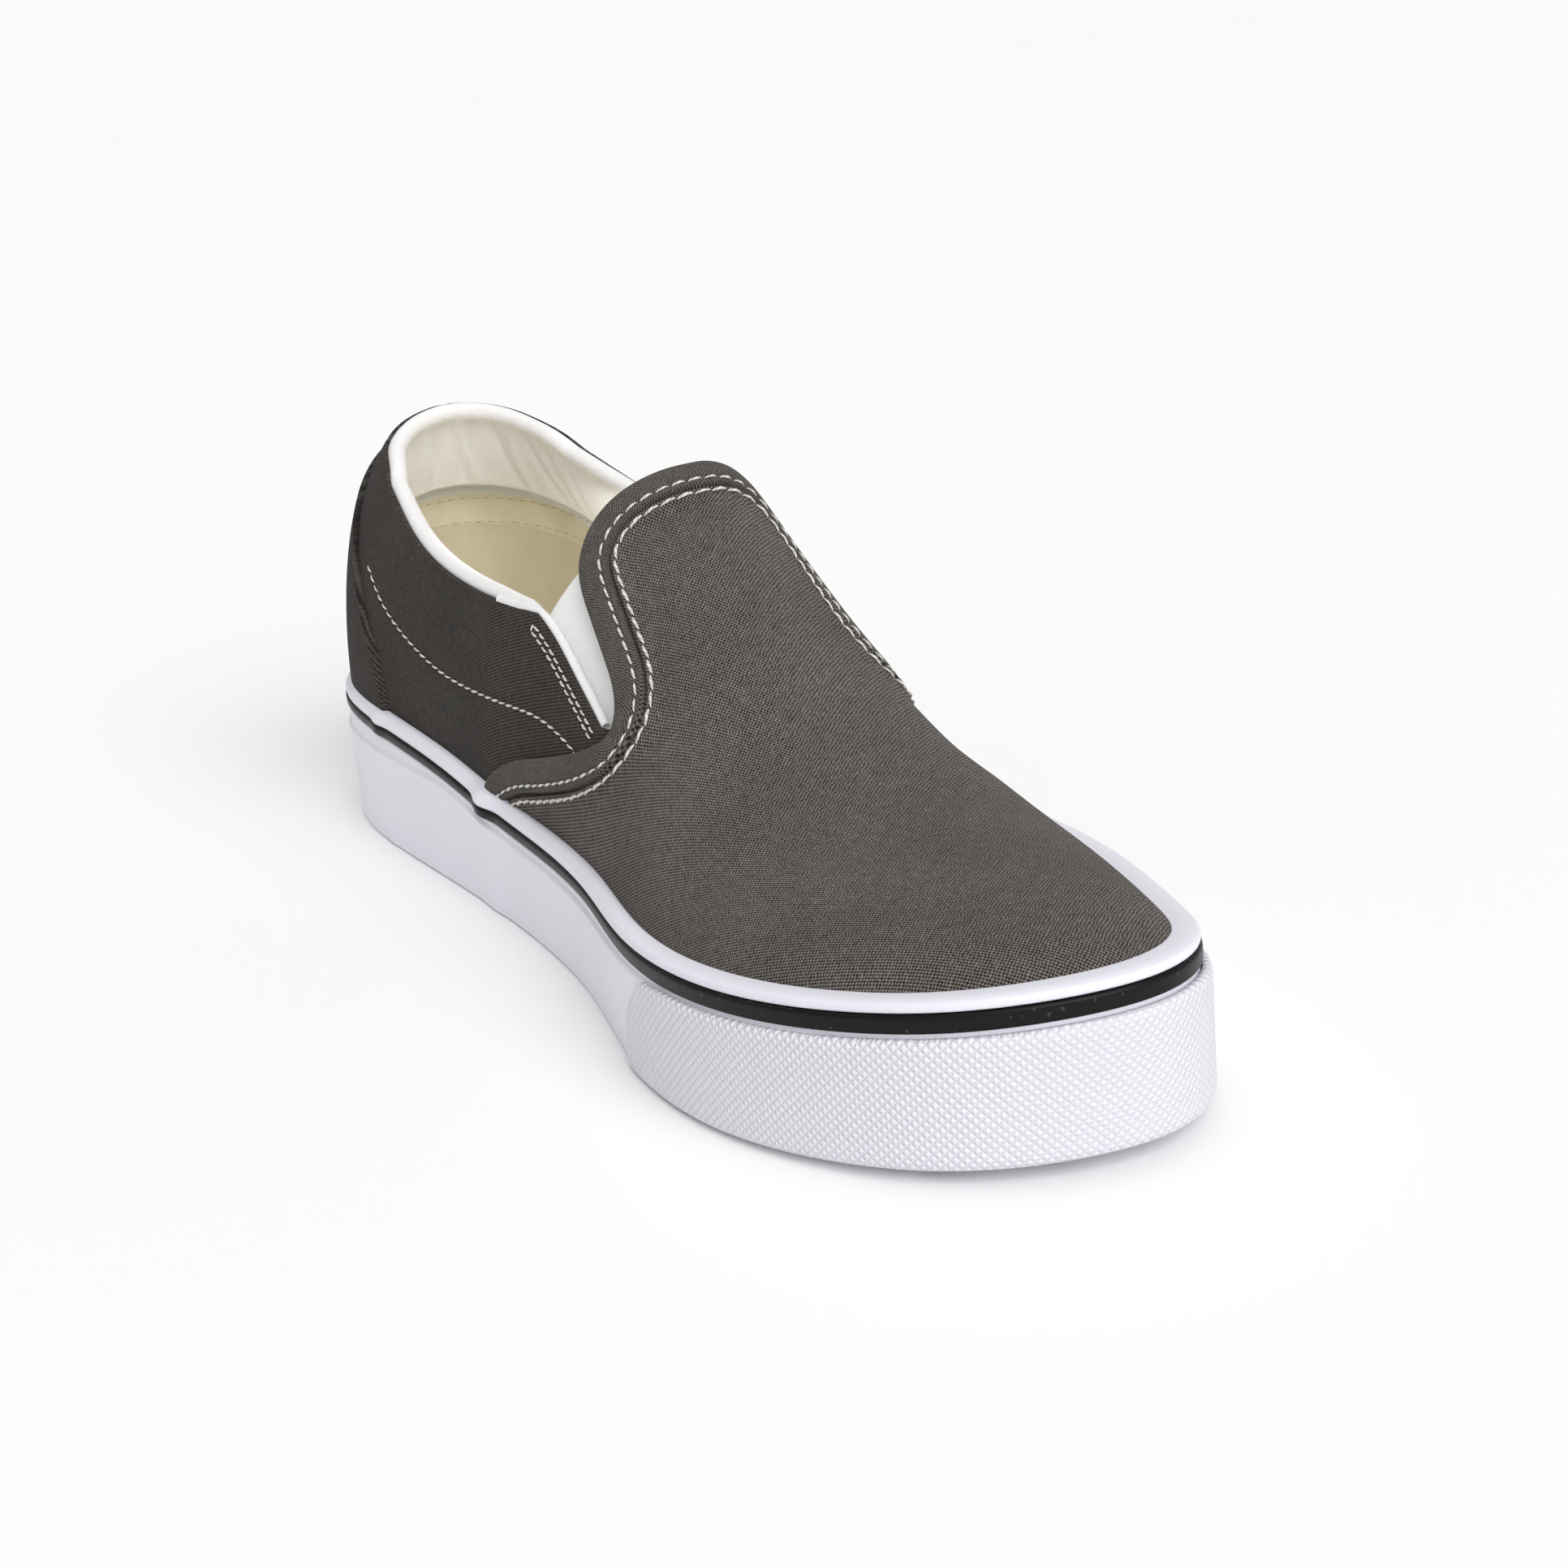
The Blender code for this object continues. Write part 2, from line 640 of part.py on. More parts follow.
def vamp_edge(side, count=30):
    """The vamp's edge from the sole up to the tongue's middle."""
    return table_line(VAMP_EDGE[::-1], side, count)


def gore_foot_index(side):
    """Where the quarter's front edge meets the vamp's edge."""
    line = vamp_edge(side)
    share = rays(line)[2]
    return int(np.argmin(np.abs(share - GORE_FOOT) + (line[:, 0] < 0.56 * SOLE_LENGTH)))


def upper_opening():
    """Collar, gore cuts and tongue edge as one closed line."""
    def quarter(side):
        return table_line(QUARTER_EDGE, side, 6)

    def tongue(side):
        return vamp_edge(side)[gore_foot_index(side):]

    return closed_edge([collar_line, quarter, tongue])


def upper():
    """Vamp, tongue and quarters: one hollow wall, open above and underneath."""
    return panel(FEATHER[::FINE], -UPPER_WALL, 0.0, hole=upper_opening(), grid=last_grid())


def strip_top(x):
    """Height of the white strip's top edge at x."""
    return side_rise(x) + STRIPE_HEIGHT + STRIP_HEIGHT


def above_strip(line, side):
    """The pattern line with any point that would dip behind the white strip raised just above it."""
    limit = at_height(line[:, 0], strip_top(line[:, 0]) + CLEARANCE, side)
    spine = spine_y(line[:, 0])
    lower = np.abs(line[:, 1] - spine) > np.abs(limit[:, 1] - spine)
    return np.where(lower[:, None], limit, line)


def vamp_band(side):
    """The raised folded edge of the vamp on one side, from the strip round the gore to the tongue."""
    line = vamp_edge(side, 48)
    line = line[last_point(line)[:, 2] > strip_top(line[:, 0]) + CLEARANCE]
    other = above_strip(shift_line(line, side * BAND_WIDTH), side)
    spine = spine_y(other[:, 0])
    middle = 0.2 * MM
    other[:, 1] = np.where((other[:, 1] - spine) * side < middle, spine + side * middle, other[:, 1])
    line[-1, 1] = spine_y(line[-1, 0]) + side * middle
    low, high = OVERLAY_GAP, OVERLAY_GAP + OVERLAY_THICKNESS
    corners = [on_last(line, high), on_last(line, low), on_last(other, low), on_last(other, high)]
    section = np.stack(corners, 1)
    if side > 0:
        section = section[:, ::-1]
    return section.reshape(-1, 3), swept(len(line), 4, closed=False)


def gore(side):
    """The elastic wedge in the opening between quarter and tongue, lapped under both."""
    quarter = table_line(QUARTER_EDGE, side, 7)
    edge = vamp_edge(side, 60)
    foot = int(np.argmin(np.abs(rays(edge)[2] - GORE_FOOT) + (edge[:, 0] < 0.56 * SOLE_LENGTH)))
    tongue = edge[foot:]
    reach = int(np.argmin(np.abs(rays(tongue)[2] - 0.40)))
    tongue = tongue[:reach + 1]
    tongue = tongue[np.linspace(0, len(tongue) - 1, 7).astype(int)]
    back = shift_line(quarter, side * GORE_LAP * np.linspace(0, 1, len(quarter))[:, None])
    front = shift_line(tongue[::-1], -side * GORE_LAP)
    tip = (back[-1] + front[-1]) / 2 + [GORE_LAP, 0]
    outline = np.vstack([back, [tip], front[::-1]])
    high = -UPPER_WALL - LINING_GAP
    grid = np.vstack([(back * (1 - t) + front * t)[1:-1] for t in (0.33, 0.67)])
    return panel(outline, high - GORE_THICKNESS, high, grid=grid)


def collar_stations():
    """The collar edge from just short of one quarter's corner round the heel to the other's."""
    ends = []
    for side in (-1, 1):
        line = collar_line(side)
        gap = np.linalg.norm(last_point(line[-1:]) - last_point(line[-2:-1]))
        line[-1] = line[-1] + (line[-2] - line[-1]) * COLLAR_STOP / gap
        ends.append(line)
    return np.vstack([ends[0][::-1], ends[1][1:]])


def collar():
    """The padded collar: a roll over the canvas edge and a lining down the inside of the heel."""
    edge = collar_stations()
    solid = last_point(edge)
    base = side_rise(solid[:, 0]) + INSOLE_THICKNESS + LINING_STOP
    drop = np.minimum(COLLAR_DROP, solid[:, 2] - base)
    rows = []
    for part in (0.0, 0.3, 0.65, 1.0):
        height = solid[:, 2] - drop * part
        start, end, share = rays(edge)
        low, high = share.copy(), np.ones(len(edge))
        for _ in range(30):
            test = (low + high) / 2
            above = last_point(start + (end - start) * test[:, None])[:, 2] > height
            low, high = np.where(above, test, low), np.where(above, high, test)
        rows.append(start + (end - start) * low[:, None])
    up = last_point(rows[0]) - last_point(rows[1])
    up /= np.linalg.norm(up, axis=1)[:, None]
    outer_face = -UPPER_WALL - LINING_GAP
    pads = (COLLAR_PAD, COLLAR_PAD, 0.8 * COLLAR_PAD, 0.4 * COLLAR_PAD)
    section = [on_last(row, outer_face) for row in rows[::-1]]
    section[-1] = section[-1] + up * LINING_GAP
    lift = up * COLLAR_ROLL
    section.append(on_last(rows[0], -0.1 * MM) + up * LINING_GAP)
    section.append(on_last(rows[0], 0.1 * MM) + lift * 0.5)
    section.append(on_last(rows[0], -0.9 * MM) + lift * 0.9)
    section.append(on_last(rows[0], -2.6 * MM) + lift)
    section.append(on_last(rows[0], outer_face - 0.8 * COLLAR_PAD) + lift * 0.6)
    section += [on_last(row, outer_face - pad) for row, pad in zip(rows, pads)]
    verts = np.stack(section, 1)
    return verts.reshape(-1, 3), swept(len(edge), verts.shape[1], closed=False)


def heel_stay():
    """The canvas patch round the back of the heel, outside the quarters."""
    rows = np.array(STAY_EDGE)
    height = np.linspace(rows[0, 1], rows[-1, 1], 9)
    edge_x = curve(rows[:, [1, 0]], height) * SOLE_LENGTH
    rise = np.linspace(0, 1, len(height))
    top = HEEL_HEIGHT - LINING_GAP - 2 * MM
    grid = []
    across = np.linspace(-1, 1, 19)
    for z, x, up in zip(height * HEEL_HEIGHT, edge_x, rise):
        angle = across * np.arccos(np.clip((HEEL_X - x) / HEEL_X, -1, 1))
        x_here = HEEL_X * (1 - np.cos(angle))
        foot = strip_top(x_here) + 2 * CLEARANCE - height[0] * HEEL_HEIGHT
        crown = (top - height[-1] * HEEL_HEIGHT) * (1 - across ** 2)
        z_here = z + foot * (1 - up) + crown * up
        outer = at_height(x_here, z_here, -1)
        inner = at_height(x_here, z_here, 1)
        grid.append(np.where((angle < 0)[:, None], outer, inner))
    flat = np.array(grid)
    high = on_last(flat.reshape(-1, 2), OVERLAY_GAP + OVERLAY_THICKNESS)
    low = on_last(flat.reshape(-1, 2), OVERLAY_GAP)
    n, m = flat.shape[:2]
    quads = []
    for i in range(n - 1):
        for j in range(m - 1):
            a, b, c, d = i * m + j, i * m + j + 1, (i + 1) * m + j + 1, (i + 1) * m + j
            quads += [(a, c, b), (a, d, c)]
    return walled(high, low, np.array(quads))


def outsole():
    """The tread slab, with grooves that leave a grid of square lugs on its underside."""
    loop = inset(sole_outline(STATIONS), FOXING_WALL + CLEARANCE)
    return slab(loop, floor_lift, lambda x: floor_lift(x) + OUTSOLE_THICKNESS, SLAB_CELL)


def midsole():
    """The filler between the tread slab and the insole, inside the foxing."""
    loop = inset(sole_outline(STATIONS), FOXING_WALL + CLEARANCE)
    return slab(
        loop,
        lambda x: floor_lift(x) + OUTSOLE_THICKNESS + CLEARANCE,
        lambda x: side_rise(x) - CLEARANCE,
        SLAB_CELL,
    )


def insole():
    """The sock lining on the filler, as wide as the upper's inside is at the lining's top."""
    loop = FEATHER[::FINE]
    start, end, _ = rays(loop)
    low, high = np.zeros(len(loop)), np.ones(len(loop))
    for _ in range(30):
        test = (low + high) / 2
        point = on_last(start + (end - start) * test[:, None], -UPPER_WALL - LINING_GAP)
        above = point[:, 2] > side_rise(point[:, 0]) + INSOLE_THICKNESS
        low, high = np.where(above, test, low), np.where(above, high, test)
    loop = on_last(start + (end - start) * low[:, None], -UPPER_WALL - LINING_GAP)[:, :2]
    return slab(loop, side_rise, lambda x: side_rise(x) + INSOLE_THICKNESS, SLAB_CELL)


def material(name):
    """The named finish, from its plain colour and roughness."""
    red, green, blue, roughness = COLOURS[name]
    made = bpy.data.materials.new(name)
    made.use_nodes = True
    shader = made.node_tree.nodes["Principled BSDF"]
    shader.inputs["Base Color"].default_value = (red, green, blue, 1.0)
    shader.inputs["Roughness"].default_value = roughness
    shader.inputs["Metallic"].default_value = 0.0
    return made


def outward(verts, faces):
    """The faces, all turned round if the volume that they enclose comes out negative."""
    fans = [(face[0], b, c) for face in faces for b, c in zip(face[1:-1], face[2:])]
    a, b, c = np.moveaxis(verts[np.array(fans)], 1, 0)
    volume = np.einsum("ij,ij->i", a, np.cross(b, c)).sum()
    return faces if volume > 0 else [tuple(reversed(face)) for face in faces]


def add(name, verts, faces, finish):
    """A named object with its mesh and its material."""
    faces = outward(verts, faces)
    mesh = bpy.data.meshes.new(name)
    mesh.from_pydata([tuple(v) for v in verts.tolist()], [], faces)
    mesh.validate()
    piece = bpy.data.objects.new(name, mesh)
    bpy.context.scene.collection.objects.link(piece)
    mesh.materials.append(finish)
    return piece


def groove_boxes(centres, size, along_x):
    """Corner points and faces of a row of parallel boxes that cut grooves from below."""
    corners = np.array([(x, y, z) for x in (-0.5, 0.5) for y in (-0.5, 0.5) for z in (-0.5, 0.5)])
    box = [(0, 1, 3, 2), (4, 6, 7, 5), (0, 4, 5, 1), (2, 3, 7, 6), (0, 2, 6, 4), (1, 5, 7, 3)]
    verts, faces = [], []
    for number, centre in enumerate(centres):
        place = np.array([SOLE_LENGTH / 2, centre, 0]) if along_x else np.array([centre, 0, 0])
        verts.append(corners * size + place)
        faces += [tuple(number * 8 + k for k in face) for face in box]
    return np.vstack(verts), faces


def cut_lugs(piece, finish):
    """Cuts cross grooves and long grooves into the underside, one exact Boolean for each set."""
    across = np.arange(LUG_PITCH, FLAT_SHARE * SOLE_LENGTH, LUG_PITCH)
    beyond = np.arange(across[-1] + LUG_PITCH, SOLE_LENGTH - LUG_PITCH / 2, LUG_PITCH)
    width = 2 * BALL_WIDTH
    sets = [
        groove_boxes(across, (LUG_GROOVE, width, 2 * LUG_DEPTH), False),
        groove_boxes([-1.5 * LUG_PITCH, -0.5 * LUG_PITCH, 0.5 * LUG_PITCH, 1.5 * LUG_PITCH],
                     (2 * SOLE_LENGTH, LUG_GROOVE, 2 * LUG_DEPTH), True),
    ]
    verts, faces = groove_boxes(beyond, (LUG_GROOVE, width, 2 * LUG_DEPTH), False)
    verts[:, 2] += floor_lift(verts[:, 0])
    sets.append((verts, faces))
    for number, (verts, faces) in enumerate(sets):
        tool = add("groove_tool", verts, faces, finish)
        cut = piece.modifiers.new("grooves_%d" % number, "BOOLEAN")
        cut.operation = "DIFFERENCE"
        cut.solver = "EXACT"
        cut.object = tool
        bpy.context.view_layer.update()
        mesh = bpy.data.meshes.new_from_object(piece.evaluated_get(bpy.context.evaluated_depsgraph_get()))
        piece.modifiers.remove(cut)
        piece.data = mesh
        bpy.data.objects.remove(tool, do_unlink=True)


def main():
    """Builds every piece, then moves them all so that the origin is under the middle of the shoe."""
    for old in list(bpy.data.objects):
        bpy.data.objects.remove(old, do_unlink=True)
    finish = {name: material(name) for name in COLOURS}
    pieces = {
        "outsole": (outsole(), "sole_rubber"),
        "midsole": (midsole(), "filler_foam"),
        "foxing": (ring(foxing_profile), "white_rubber"),
        "toe_bumper": (toe_bumper(), "white_rubber"),
        "black_stripe": (ring(stripe_profile), "black_rubber"),
        "top_strip": (ring(strip_profile), "white_rubber"),
        "upper": (upper(), "charcoal_canvas"),
        "vamp_band_lateral": (vamp_band(-1), "charcoal_canvas"),
        "vamp_band_medial": (vamp_band(1), "charcoal_canvas"),
        "heel_stay": (heel_stay(), "charcoal_canvas"),
        "collar": (collar(), "white_lining"),
        "gore_lateral": (gore(-1), "white_elastic"),
        "gore_medial": (gore(1), "white_elastic"),
        "insole": (insole(), "natural_sock"),
    }
    made = [add(name, *solid, finish[slot]) for name, (solid, slot) in pieces.items()]
    cut_lugs(made[0], finish["sole_rubber"])
    corners = np.vstack([np.array([v.co[:] for v in piece.data.vertices]) for piece in made])
    low, high = corners.min(0), corners.max(0)
    shift = Vector((-(low[0] + high[0]) / 2, -(low[1] + high[1]) / 2, -low[2]))
    for piece in made:
        for vertex in piece.data.vertices:
            vertex.co += shift
        piece.data.update()


main()
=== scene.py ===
"""The looks of a slip-on canvas sneaker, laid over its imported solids.

Every cloth piece follows the last, the surface that the solids are cut from. Shapes are worked out
in the last's own frame, with the heel at x = 0, and moved by SHIFT into the row frame at the end.
"""
import math
import bpy
import numpy as np
from mathutils import Matrix, Vector


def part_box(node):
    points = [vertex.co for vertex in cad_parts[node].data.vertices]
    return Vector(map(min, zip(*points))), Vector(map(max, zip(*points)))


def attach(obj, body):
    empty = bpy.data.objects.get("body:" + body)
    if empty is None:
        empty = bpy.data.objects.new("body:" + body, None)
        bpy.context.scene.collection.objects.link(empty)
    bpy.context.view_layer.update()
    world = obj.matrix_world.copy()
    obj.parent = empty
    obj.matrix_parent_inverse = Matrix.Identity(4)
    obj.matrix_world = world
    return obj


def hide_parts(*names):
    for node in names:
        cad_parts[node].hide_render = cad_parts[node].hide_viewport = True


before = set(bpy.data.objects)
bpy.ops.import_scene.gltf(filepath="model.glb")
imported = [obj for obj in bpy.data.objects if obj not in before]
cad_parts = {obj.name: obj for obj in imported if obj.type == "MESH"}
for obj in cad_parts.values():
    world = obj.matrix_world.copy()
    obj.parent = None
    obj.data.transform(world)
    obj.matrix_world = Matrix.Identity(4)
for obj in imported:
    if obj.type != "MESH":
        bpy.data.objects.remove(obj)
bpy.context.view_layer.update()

MM = 0.001

# Sizes of the solids, as the part's source has them
SOLE_LENGTH = 288.5 * MM
BALL_WIDTH = 93.0 * MM
INSTEP_HEIGHT = 90.5 * MM
HEEL_HEIGHT = 91.0 * MM
SIDE_RISE = 28.5 * MM
SKIRT = 50.0 * MM
TOE_SPRING = 3.5 * MM
FLAT_SHARE = 0.72
CLEARANCE = 0.3 * MM
UPPER_WALL = 1.8 * MM
FOXING_WALL = 3.0 * MM
OUTSOLE_THICKNESS = 6.5 * MM
LUG_DEPTH = 1.5 * MM
LUG_PITCH = 15.0 * MM
LUG_GROOVE = 2.6 * MM
INSOLE_THICKNESS = 3.5 * MM
STRIPE_HEIGHT = 2.4 * MM
STRIP_HEIGHT = 3.1 * MM
RIDGE_HEIGHT = 22.8 * MM
RIDGE_STEP = 0.6 * MM
BUMPER_THICKNESS = 1.3 * MM
OVERLAY_GAP = 0.45 * MM
OVERLAY_THICKNESS = 1.1 * MM
GORE_THICKNESS = 1.3 * MM
GORE_LAP = 4.0 * MM
COLLAR_PAD = 4.0 * MM
COLLAR_ROLL = 3.0 * MM
LINING_GAP = 0.75 * MM
STATIONS = 90
FINE = 8

# In each table the first column is the share of the length from the heel
# Outline of the foxing: half widths as shares of the ball width
OUTLINE = (
    # along, outer, inner
    (0.030, 0.253, 0.242),
    (0.100, 0.406, 0.372),
    (0.200, 0.439, 0.422),
    (0.330, 0.415, 0.415),
    (0.470, 0.401, 0.409),
    (0.600, 0.431, 0.446),
    (0.720, 0.499, 0.464),
    (0.830, 0.480, 0.412),
    (0.920, 0.358, 0.320),
    (0.975, 0.190, 0.230),
)
TOE_TIP_Y = 0.065 * BALL_WIDTH  # the longest toe lies towards the inner side

# Height of the stripe's lower edge, as a share of the side rise
RISE = (
    # along, height
    (0.0, 1.0),
    (0.2, 0.947),
    (0.33, 0.85),
    (0.42, 0.74),
    (0.5, 0.712),
    (0.62, 0.725),
    (0.75, 0.78),
    (0.87, 0.85),
    (1.0, 0.985),
)
# Top line of the last, as a share of the instep height
TOP_LINE = (
    # along, height
    (0.0, 1.316),
    (0.2, 1.06),
    (0.36, 1.135),
    (0.46, 1.022),
    (0.58, 0.777),
    (0.73, 0.49),
    (0.87, 0.42),
    (1.0, 0.45),
)
# Plan line under the top line, as a share of the ball width
SPINE = (
    # along, sideways
    (0.0, 0.0),
    (0.2, 0.0),
    (0.45, 0.105),
    (0.6, 0.025),
    (0.76, 0.0),
    (1.0, 0.02),
)
# Fullness of the sections on each side: 2 is an ellipse, more is squarer
FULLNESS = (
    # along, outer exponent, inner exponent
    (0.0, 2.18, 1.88),
    (0.3, 2.5, 2.22),
    (0.6, 1.93, 1.82),
    (0.75, 2.2, 1.95),
    (0.88, 3.0, 2.9),
    (1.0, 4.0, 4.0),
)
HEEL_FAN = 0.17  # where the sections give way to rays, shares of the length
TOE_FAN = 0.76

# Collar edge, as a share of the heel height
COLLAR = (
    # along, height
    (0.0, 1.015),
    (0.07, 0.96),
    (0.14, 0.918),
    (0.2, 0.85),
    (0.26, 0.784),
    (0.32, 0.744),
    (0.4, 0.722),
    (0.455, 0.72),
)
# Edge of the vamp from the tongue's middle down to the sole
VAMP_EDGE = (
    # along, down the wall
    (0.477, 0.00),
    (0.474, 0.15),
    (0.472, 0.30),
    (0.483, 0.41),
    (0.510, 0.455),
    (0.548, 0.485),
    (0.575, 0.51),
    (0.589, 0.56),
    (0.583, 0.63),
    (0.544, 0.74),
    (0.490, 0.825),
    (0.452, 0.867),
    (0.405, 0.935),
    (0.385, 1.00),
)
GORE_FOOT = 0.60  # share down the wall where the quarter runs under the vamp's edge
# Front edge of the quarter above the gore's foot
QUARTER_EDGE = (
    # along, down the wall
    (0.455, 0.575),
    (0.487, 0.583),
    (0.525, 0.6),
    (0.571, 0.612),
)
# Front edge of the heel stay, as shares of the length and of the heel height
STAY_EDGE = (
    # along, height
    (0.215, 0.33),
    (0.186, 0.51),
    (0.130, 0.67),
    (0.075, 0.82),
)

def curve(table, at, closed=False):
    """Values of a natural cubic through the rows (knot, value...) of a table; periodic if closed."""
    rows = np.asarray(table, float)
    knots, values = rows[:, 0], rows[:, 1:]
    count, step = len(knots), np.diff(knots)
    matrix, right = np.zeros((count, count)), np.zeros_like(values)
    for i in range(1, count - 1):
        matrix[i, i - 1:i + 2] = step[i - 1], 2 * (step[i - 1] + step[i]), step[i]
        right[i] = 6 * ((values[i + 1] - values[i]) / step[i] - (values[i] - values[i - 1]) / step[i - 1])
    if closed:
        matrix[0, 0], matrix[0, -1] = 1, -1
        matrix[-1, 0], matrix[-1, -1] = 2 * step[0], 2 * step[-1]
        matrix[-1, 1] = step[0]
        matrix[-1, -2] = step[-1]
        right[-1] = 6 * ((values[1] - values[0]) / step[0] - (values[-1] - values[-2]) / step[-1])
    else:
        matrix[0, 0] = matrix[-1, -1] = 1
    bend = np.linalg.solve(matrix, right)
    at = np.clip(np.asarray(at, float), knots[0], knots[-1])
    i = np.clip(np.searchsorted(knots, at, side="right") - 1, 0, count - 2)
    h, a, b = step[i][..., None], (knots[i + 1] - at)[..., None], (at - knots[i])[..., None]
    out = (bend[i] * a ** 3 + bend[i + 1] * b ** 3) / (6 * h)
    out = out + (values[i] / h - bend[i] * h / 6) * a + (values[i + 1] / h - bend[i + 1] * h / 6) * b
    return out[..., 0] if values.shape[1] == 1 else out


def even(points, count, closed=False):
    """The line resampled at count points, evenly spaced along its length."""
    points = np.asarray(points, float)
    if closed:
        points = np.vstack([points, points[:1]])
    run = np.r_[0, np.cumsum(np.linalg.norm(np.diff(points, axis=0), axis=1))]
    at = np.linspace(0, run[-1], count + closed)[:count]
    return np.stack([np.interp(at, run, points[:, k]) for k in range(points.shape[1])], 1)


def inset(loop, distance):
    """The closed plan loop moved inwards by a distance; a negative one moves it outwards."""
    tangent = np.roll(loop, -1, 0) - np.roll(loop, 1, 0)
    outward = np.stack([tangent[:, 1], -tangent[:, 0]], 1)
    outward /= np.linalg.norm(outward, axis=1)[:, None]
    return loop - outward * np.reshape(distance, (-1, 1))


def sole_outline(count):
    """The foxing's plan outline from the heel along the outer side to the toe and back."""
    rows = np.array(OUTLINE)
    outer = np.stack([rows[:, 0] * SOLE_LENGTH, -rows[:, 1] * BALL_WIDTH], 1)
    inner = np.stack([rows[:, 0] * SOLE_LENGTH, rows[:, 2] * BALL_WIDTH], 1)[::-1]
    points = np.vstack([[[0, 0]], outer, [[SOLE_LENGTH, TOE_TIP_Y]], inner, [[0, 0]]])
    knots = np.r_[0, np.cumsum(np.sqrt(np.linalg.norm(np.diff(points, axis=0), axis=1)))]
    fine = curve(np.c_[knots, points], np.linspace(0, knots[-1], 1441), closed=True)[:-1]
    return even(fine, count, closed=True)


def side_rise(x):
    """Height of the black stripe's lower edge at x."""
    return curve(RISE, np.asarray(x) / SOLE_LENGTH) * SIDE_RISE


def floor_lift(x):
    """Height of the sole's underside at x: flat, then a parabola up to the toe spring."""
    past = np.clip((np.asarray(x) / SOLE_LENGTH - FLAT_SHARE) / (1 - FLAT_SHARE), 0, None)
    return TOE_SPRING * past ** 2


UPPER_INSET = FOXING_WALL + CLEARANCE
FINE_OUTLINE = sole_outline(STATIONS * FINE)
FEATHER = inset(FINE_OUTLINE, UPPER_INSET)
HEEL_X, TOE_X = HEEL_FAN * SOLE_LENGTH, TOE_FAN * SOLE_LENGTH


def spine_y(x):
    """Plan position of the spine at x."""
    return curve(SPINE, np.asarray(x) / SOLE_LENGTH) * BALL_WIDTH


def side_line(side):
    """One side of the feather line as points in order of x; side is -1 for outer, 1 for inner."""
    keep = FEATHER[(FEATHER[:, 1] - spine_y(FEATHER[:, 0])) * side > 0]
    return keep[np.argsort(keep[:, 0])]


SIDE_LINES = {side: side_line(side) for side in (-1, 1)}


def fan_rays(centre_x, way):
    """Angle from the long axis and length of each ray from a fan's centre to the feather line."""
    centre = np.array([centre_x, float(spine_y(centre_x))])
    ray = FEATHER - centre
    angle = np.arctan2(ray[:, 1], way * ray[:, 0])
    order = np.argsort(angle)
    return centre, angle[order], np.linalg.norm(ray, axis=1)[order]


FANS = {-1: fan_rays(HEEL_X, -1), 1: fan_rays(TOE_X, 1)}


def rays(pattern):
    """Spine point, feather point and share of the way between them, for pattern points (x, y)."""
    x, y = pattern[..., 0], pattern[..., 1]
    middle = np.clip(x, HEEL_X, TOE_X)
    start = np.stack([middle, spine_y(middle)], -1)
    outer = np.interp(x, SIDE_LINES[-1][:, 0], SIDE_LINES[-1][:, 1])
    inner = np.interp(x, SIDE_LINES[1][:, 0], SIDE_LINES[1][:, 1])
    end = np.stack([x, np.where(y < start[..., 1], outer, inner)], -1)
    for way, inside in ((-1, x < HEEL_X), (1, x > TOE_X)):
        centre, angles, lengths = FANS[way]
        ray = pattern - centre
        angle = np.arctan2(ray[..., 1], way * ray[..., 0])
        length = np.interp(angle, angles, lengths)
        fan_end = centre + np.stack([way * length * np.cos(angle), length * np.sin(angle)], -1)
        end = np.where(inside[..., None], fan_end, end)
    share = np.linalg.norm(pattern - start, axis=-1) / np.linalg.norm(end - start, axis=-1)
    return start, end, share


def last_point(pattern):
    """The last at pattern points: out by cos(t)^(2/n), up by sin(t); t is 90 degrees at the spine.

    The fullness n turns from the outer side's to the inner side's with the direction of the ray.
    """
    start, end, share = rays(pattern)
    turn = (1 - np.minimum(share, 1)) * np.pi / 2
    ray = end - start
    inner = 0.5 + 0.5 * ray[..., 1] / np.linalg.norm(ray, axis=-1)
    both = curve(FULLNESS, end[..., 0] / SOLE_LENGTH)
    fullness = both[..., 0] * (1 - inner) + both[..., 1] * inner
    plan = start + (end - start) * (np.cos(turn) ** (2 / fullness))[..., None]
    base = side_rise(end[..., 0])
    top = curve(TOP_LINE, plan[..., 0] / SOLE_LENGTH) * INSTEP_HEIGHT
    z = base + (top - base) * np.sin(turn) - np.maximum(share - 1, 0) * SKIRT
    return np.concatenate([plan, z[..., None]], -1)


def on_last(pattern, off):
    """The last at pattern points, moved off along its outward normal."""
    pattern = np.asarray(pattern, float)
    step = 1.2 * MM
    along = last_point(pattern + [step, 0]) - last_point(pattern - [step, 0])
    across = last_point(pattern + [0, step]) - last_point(pattern - [0, step])
    normal = np.cross(along, across)
    normal /= np.linalg.norm(normal, axis=-1, keepdims=True)
    return last_point(pattern) + normal * np.reshape(off, (-1, 1))


def at_share(x, share, side):
    """Pattern points at x, a share of the way from the spine down to the feather line on one side."""
    x = np.asarray(x, float)
    line = SIDE_LINES[side]
    spine = spine_y(np.clip(x, HEEL_X, TOE_X))
    return np.stack([x, spine + (np.interp(x, line[:, 0], line[:, 1]) - spine) * share], -1)


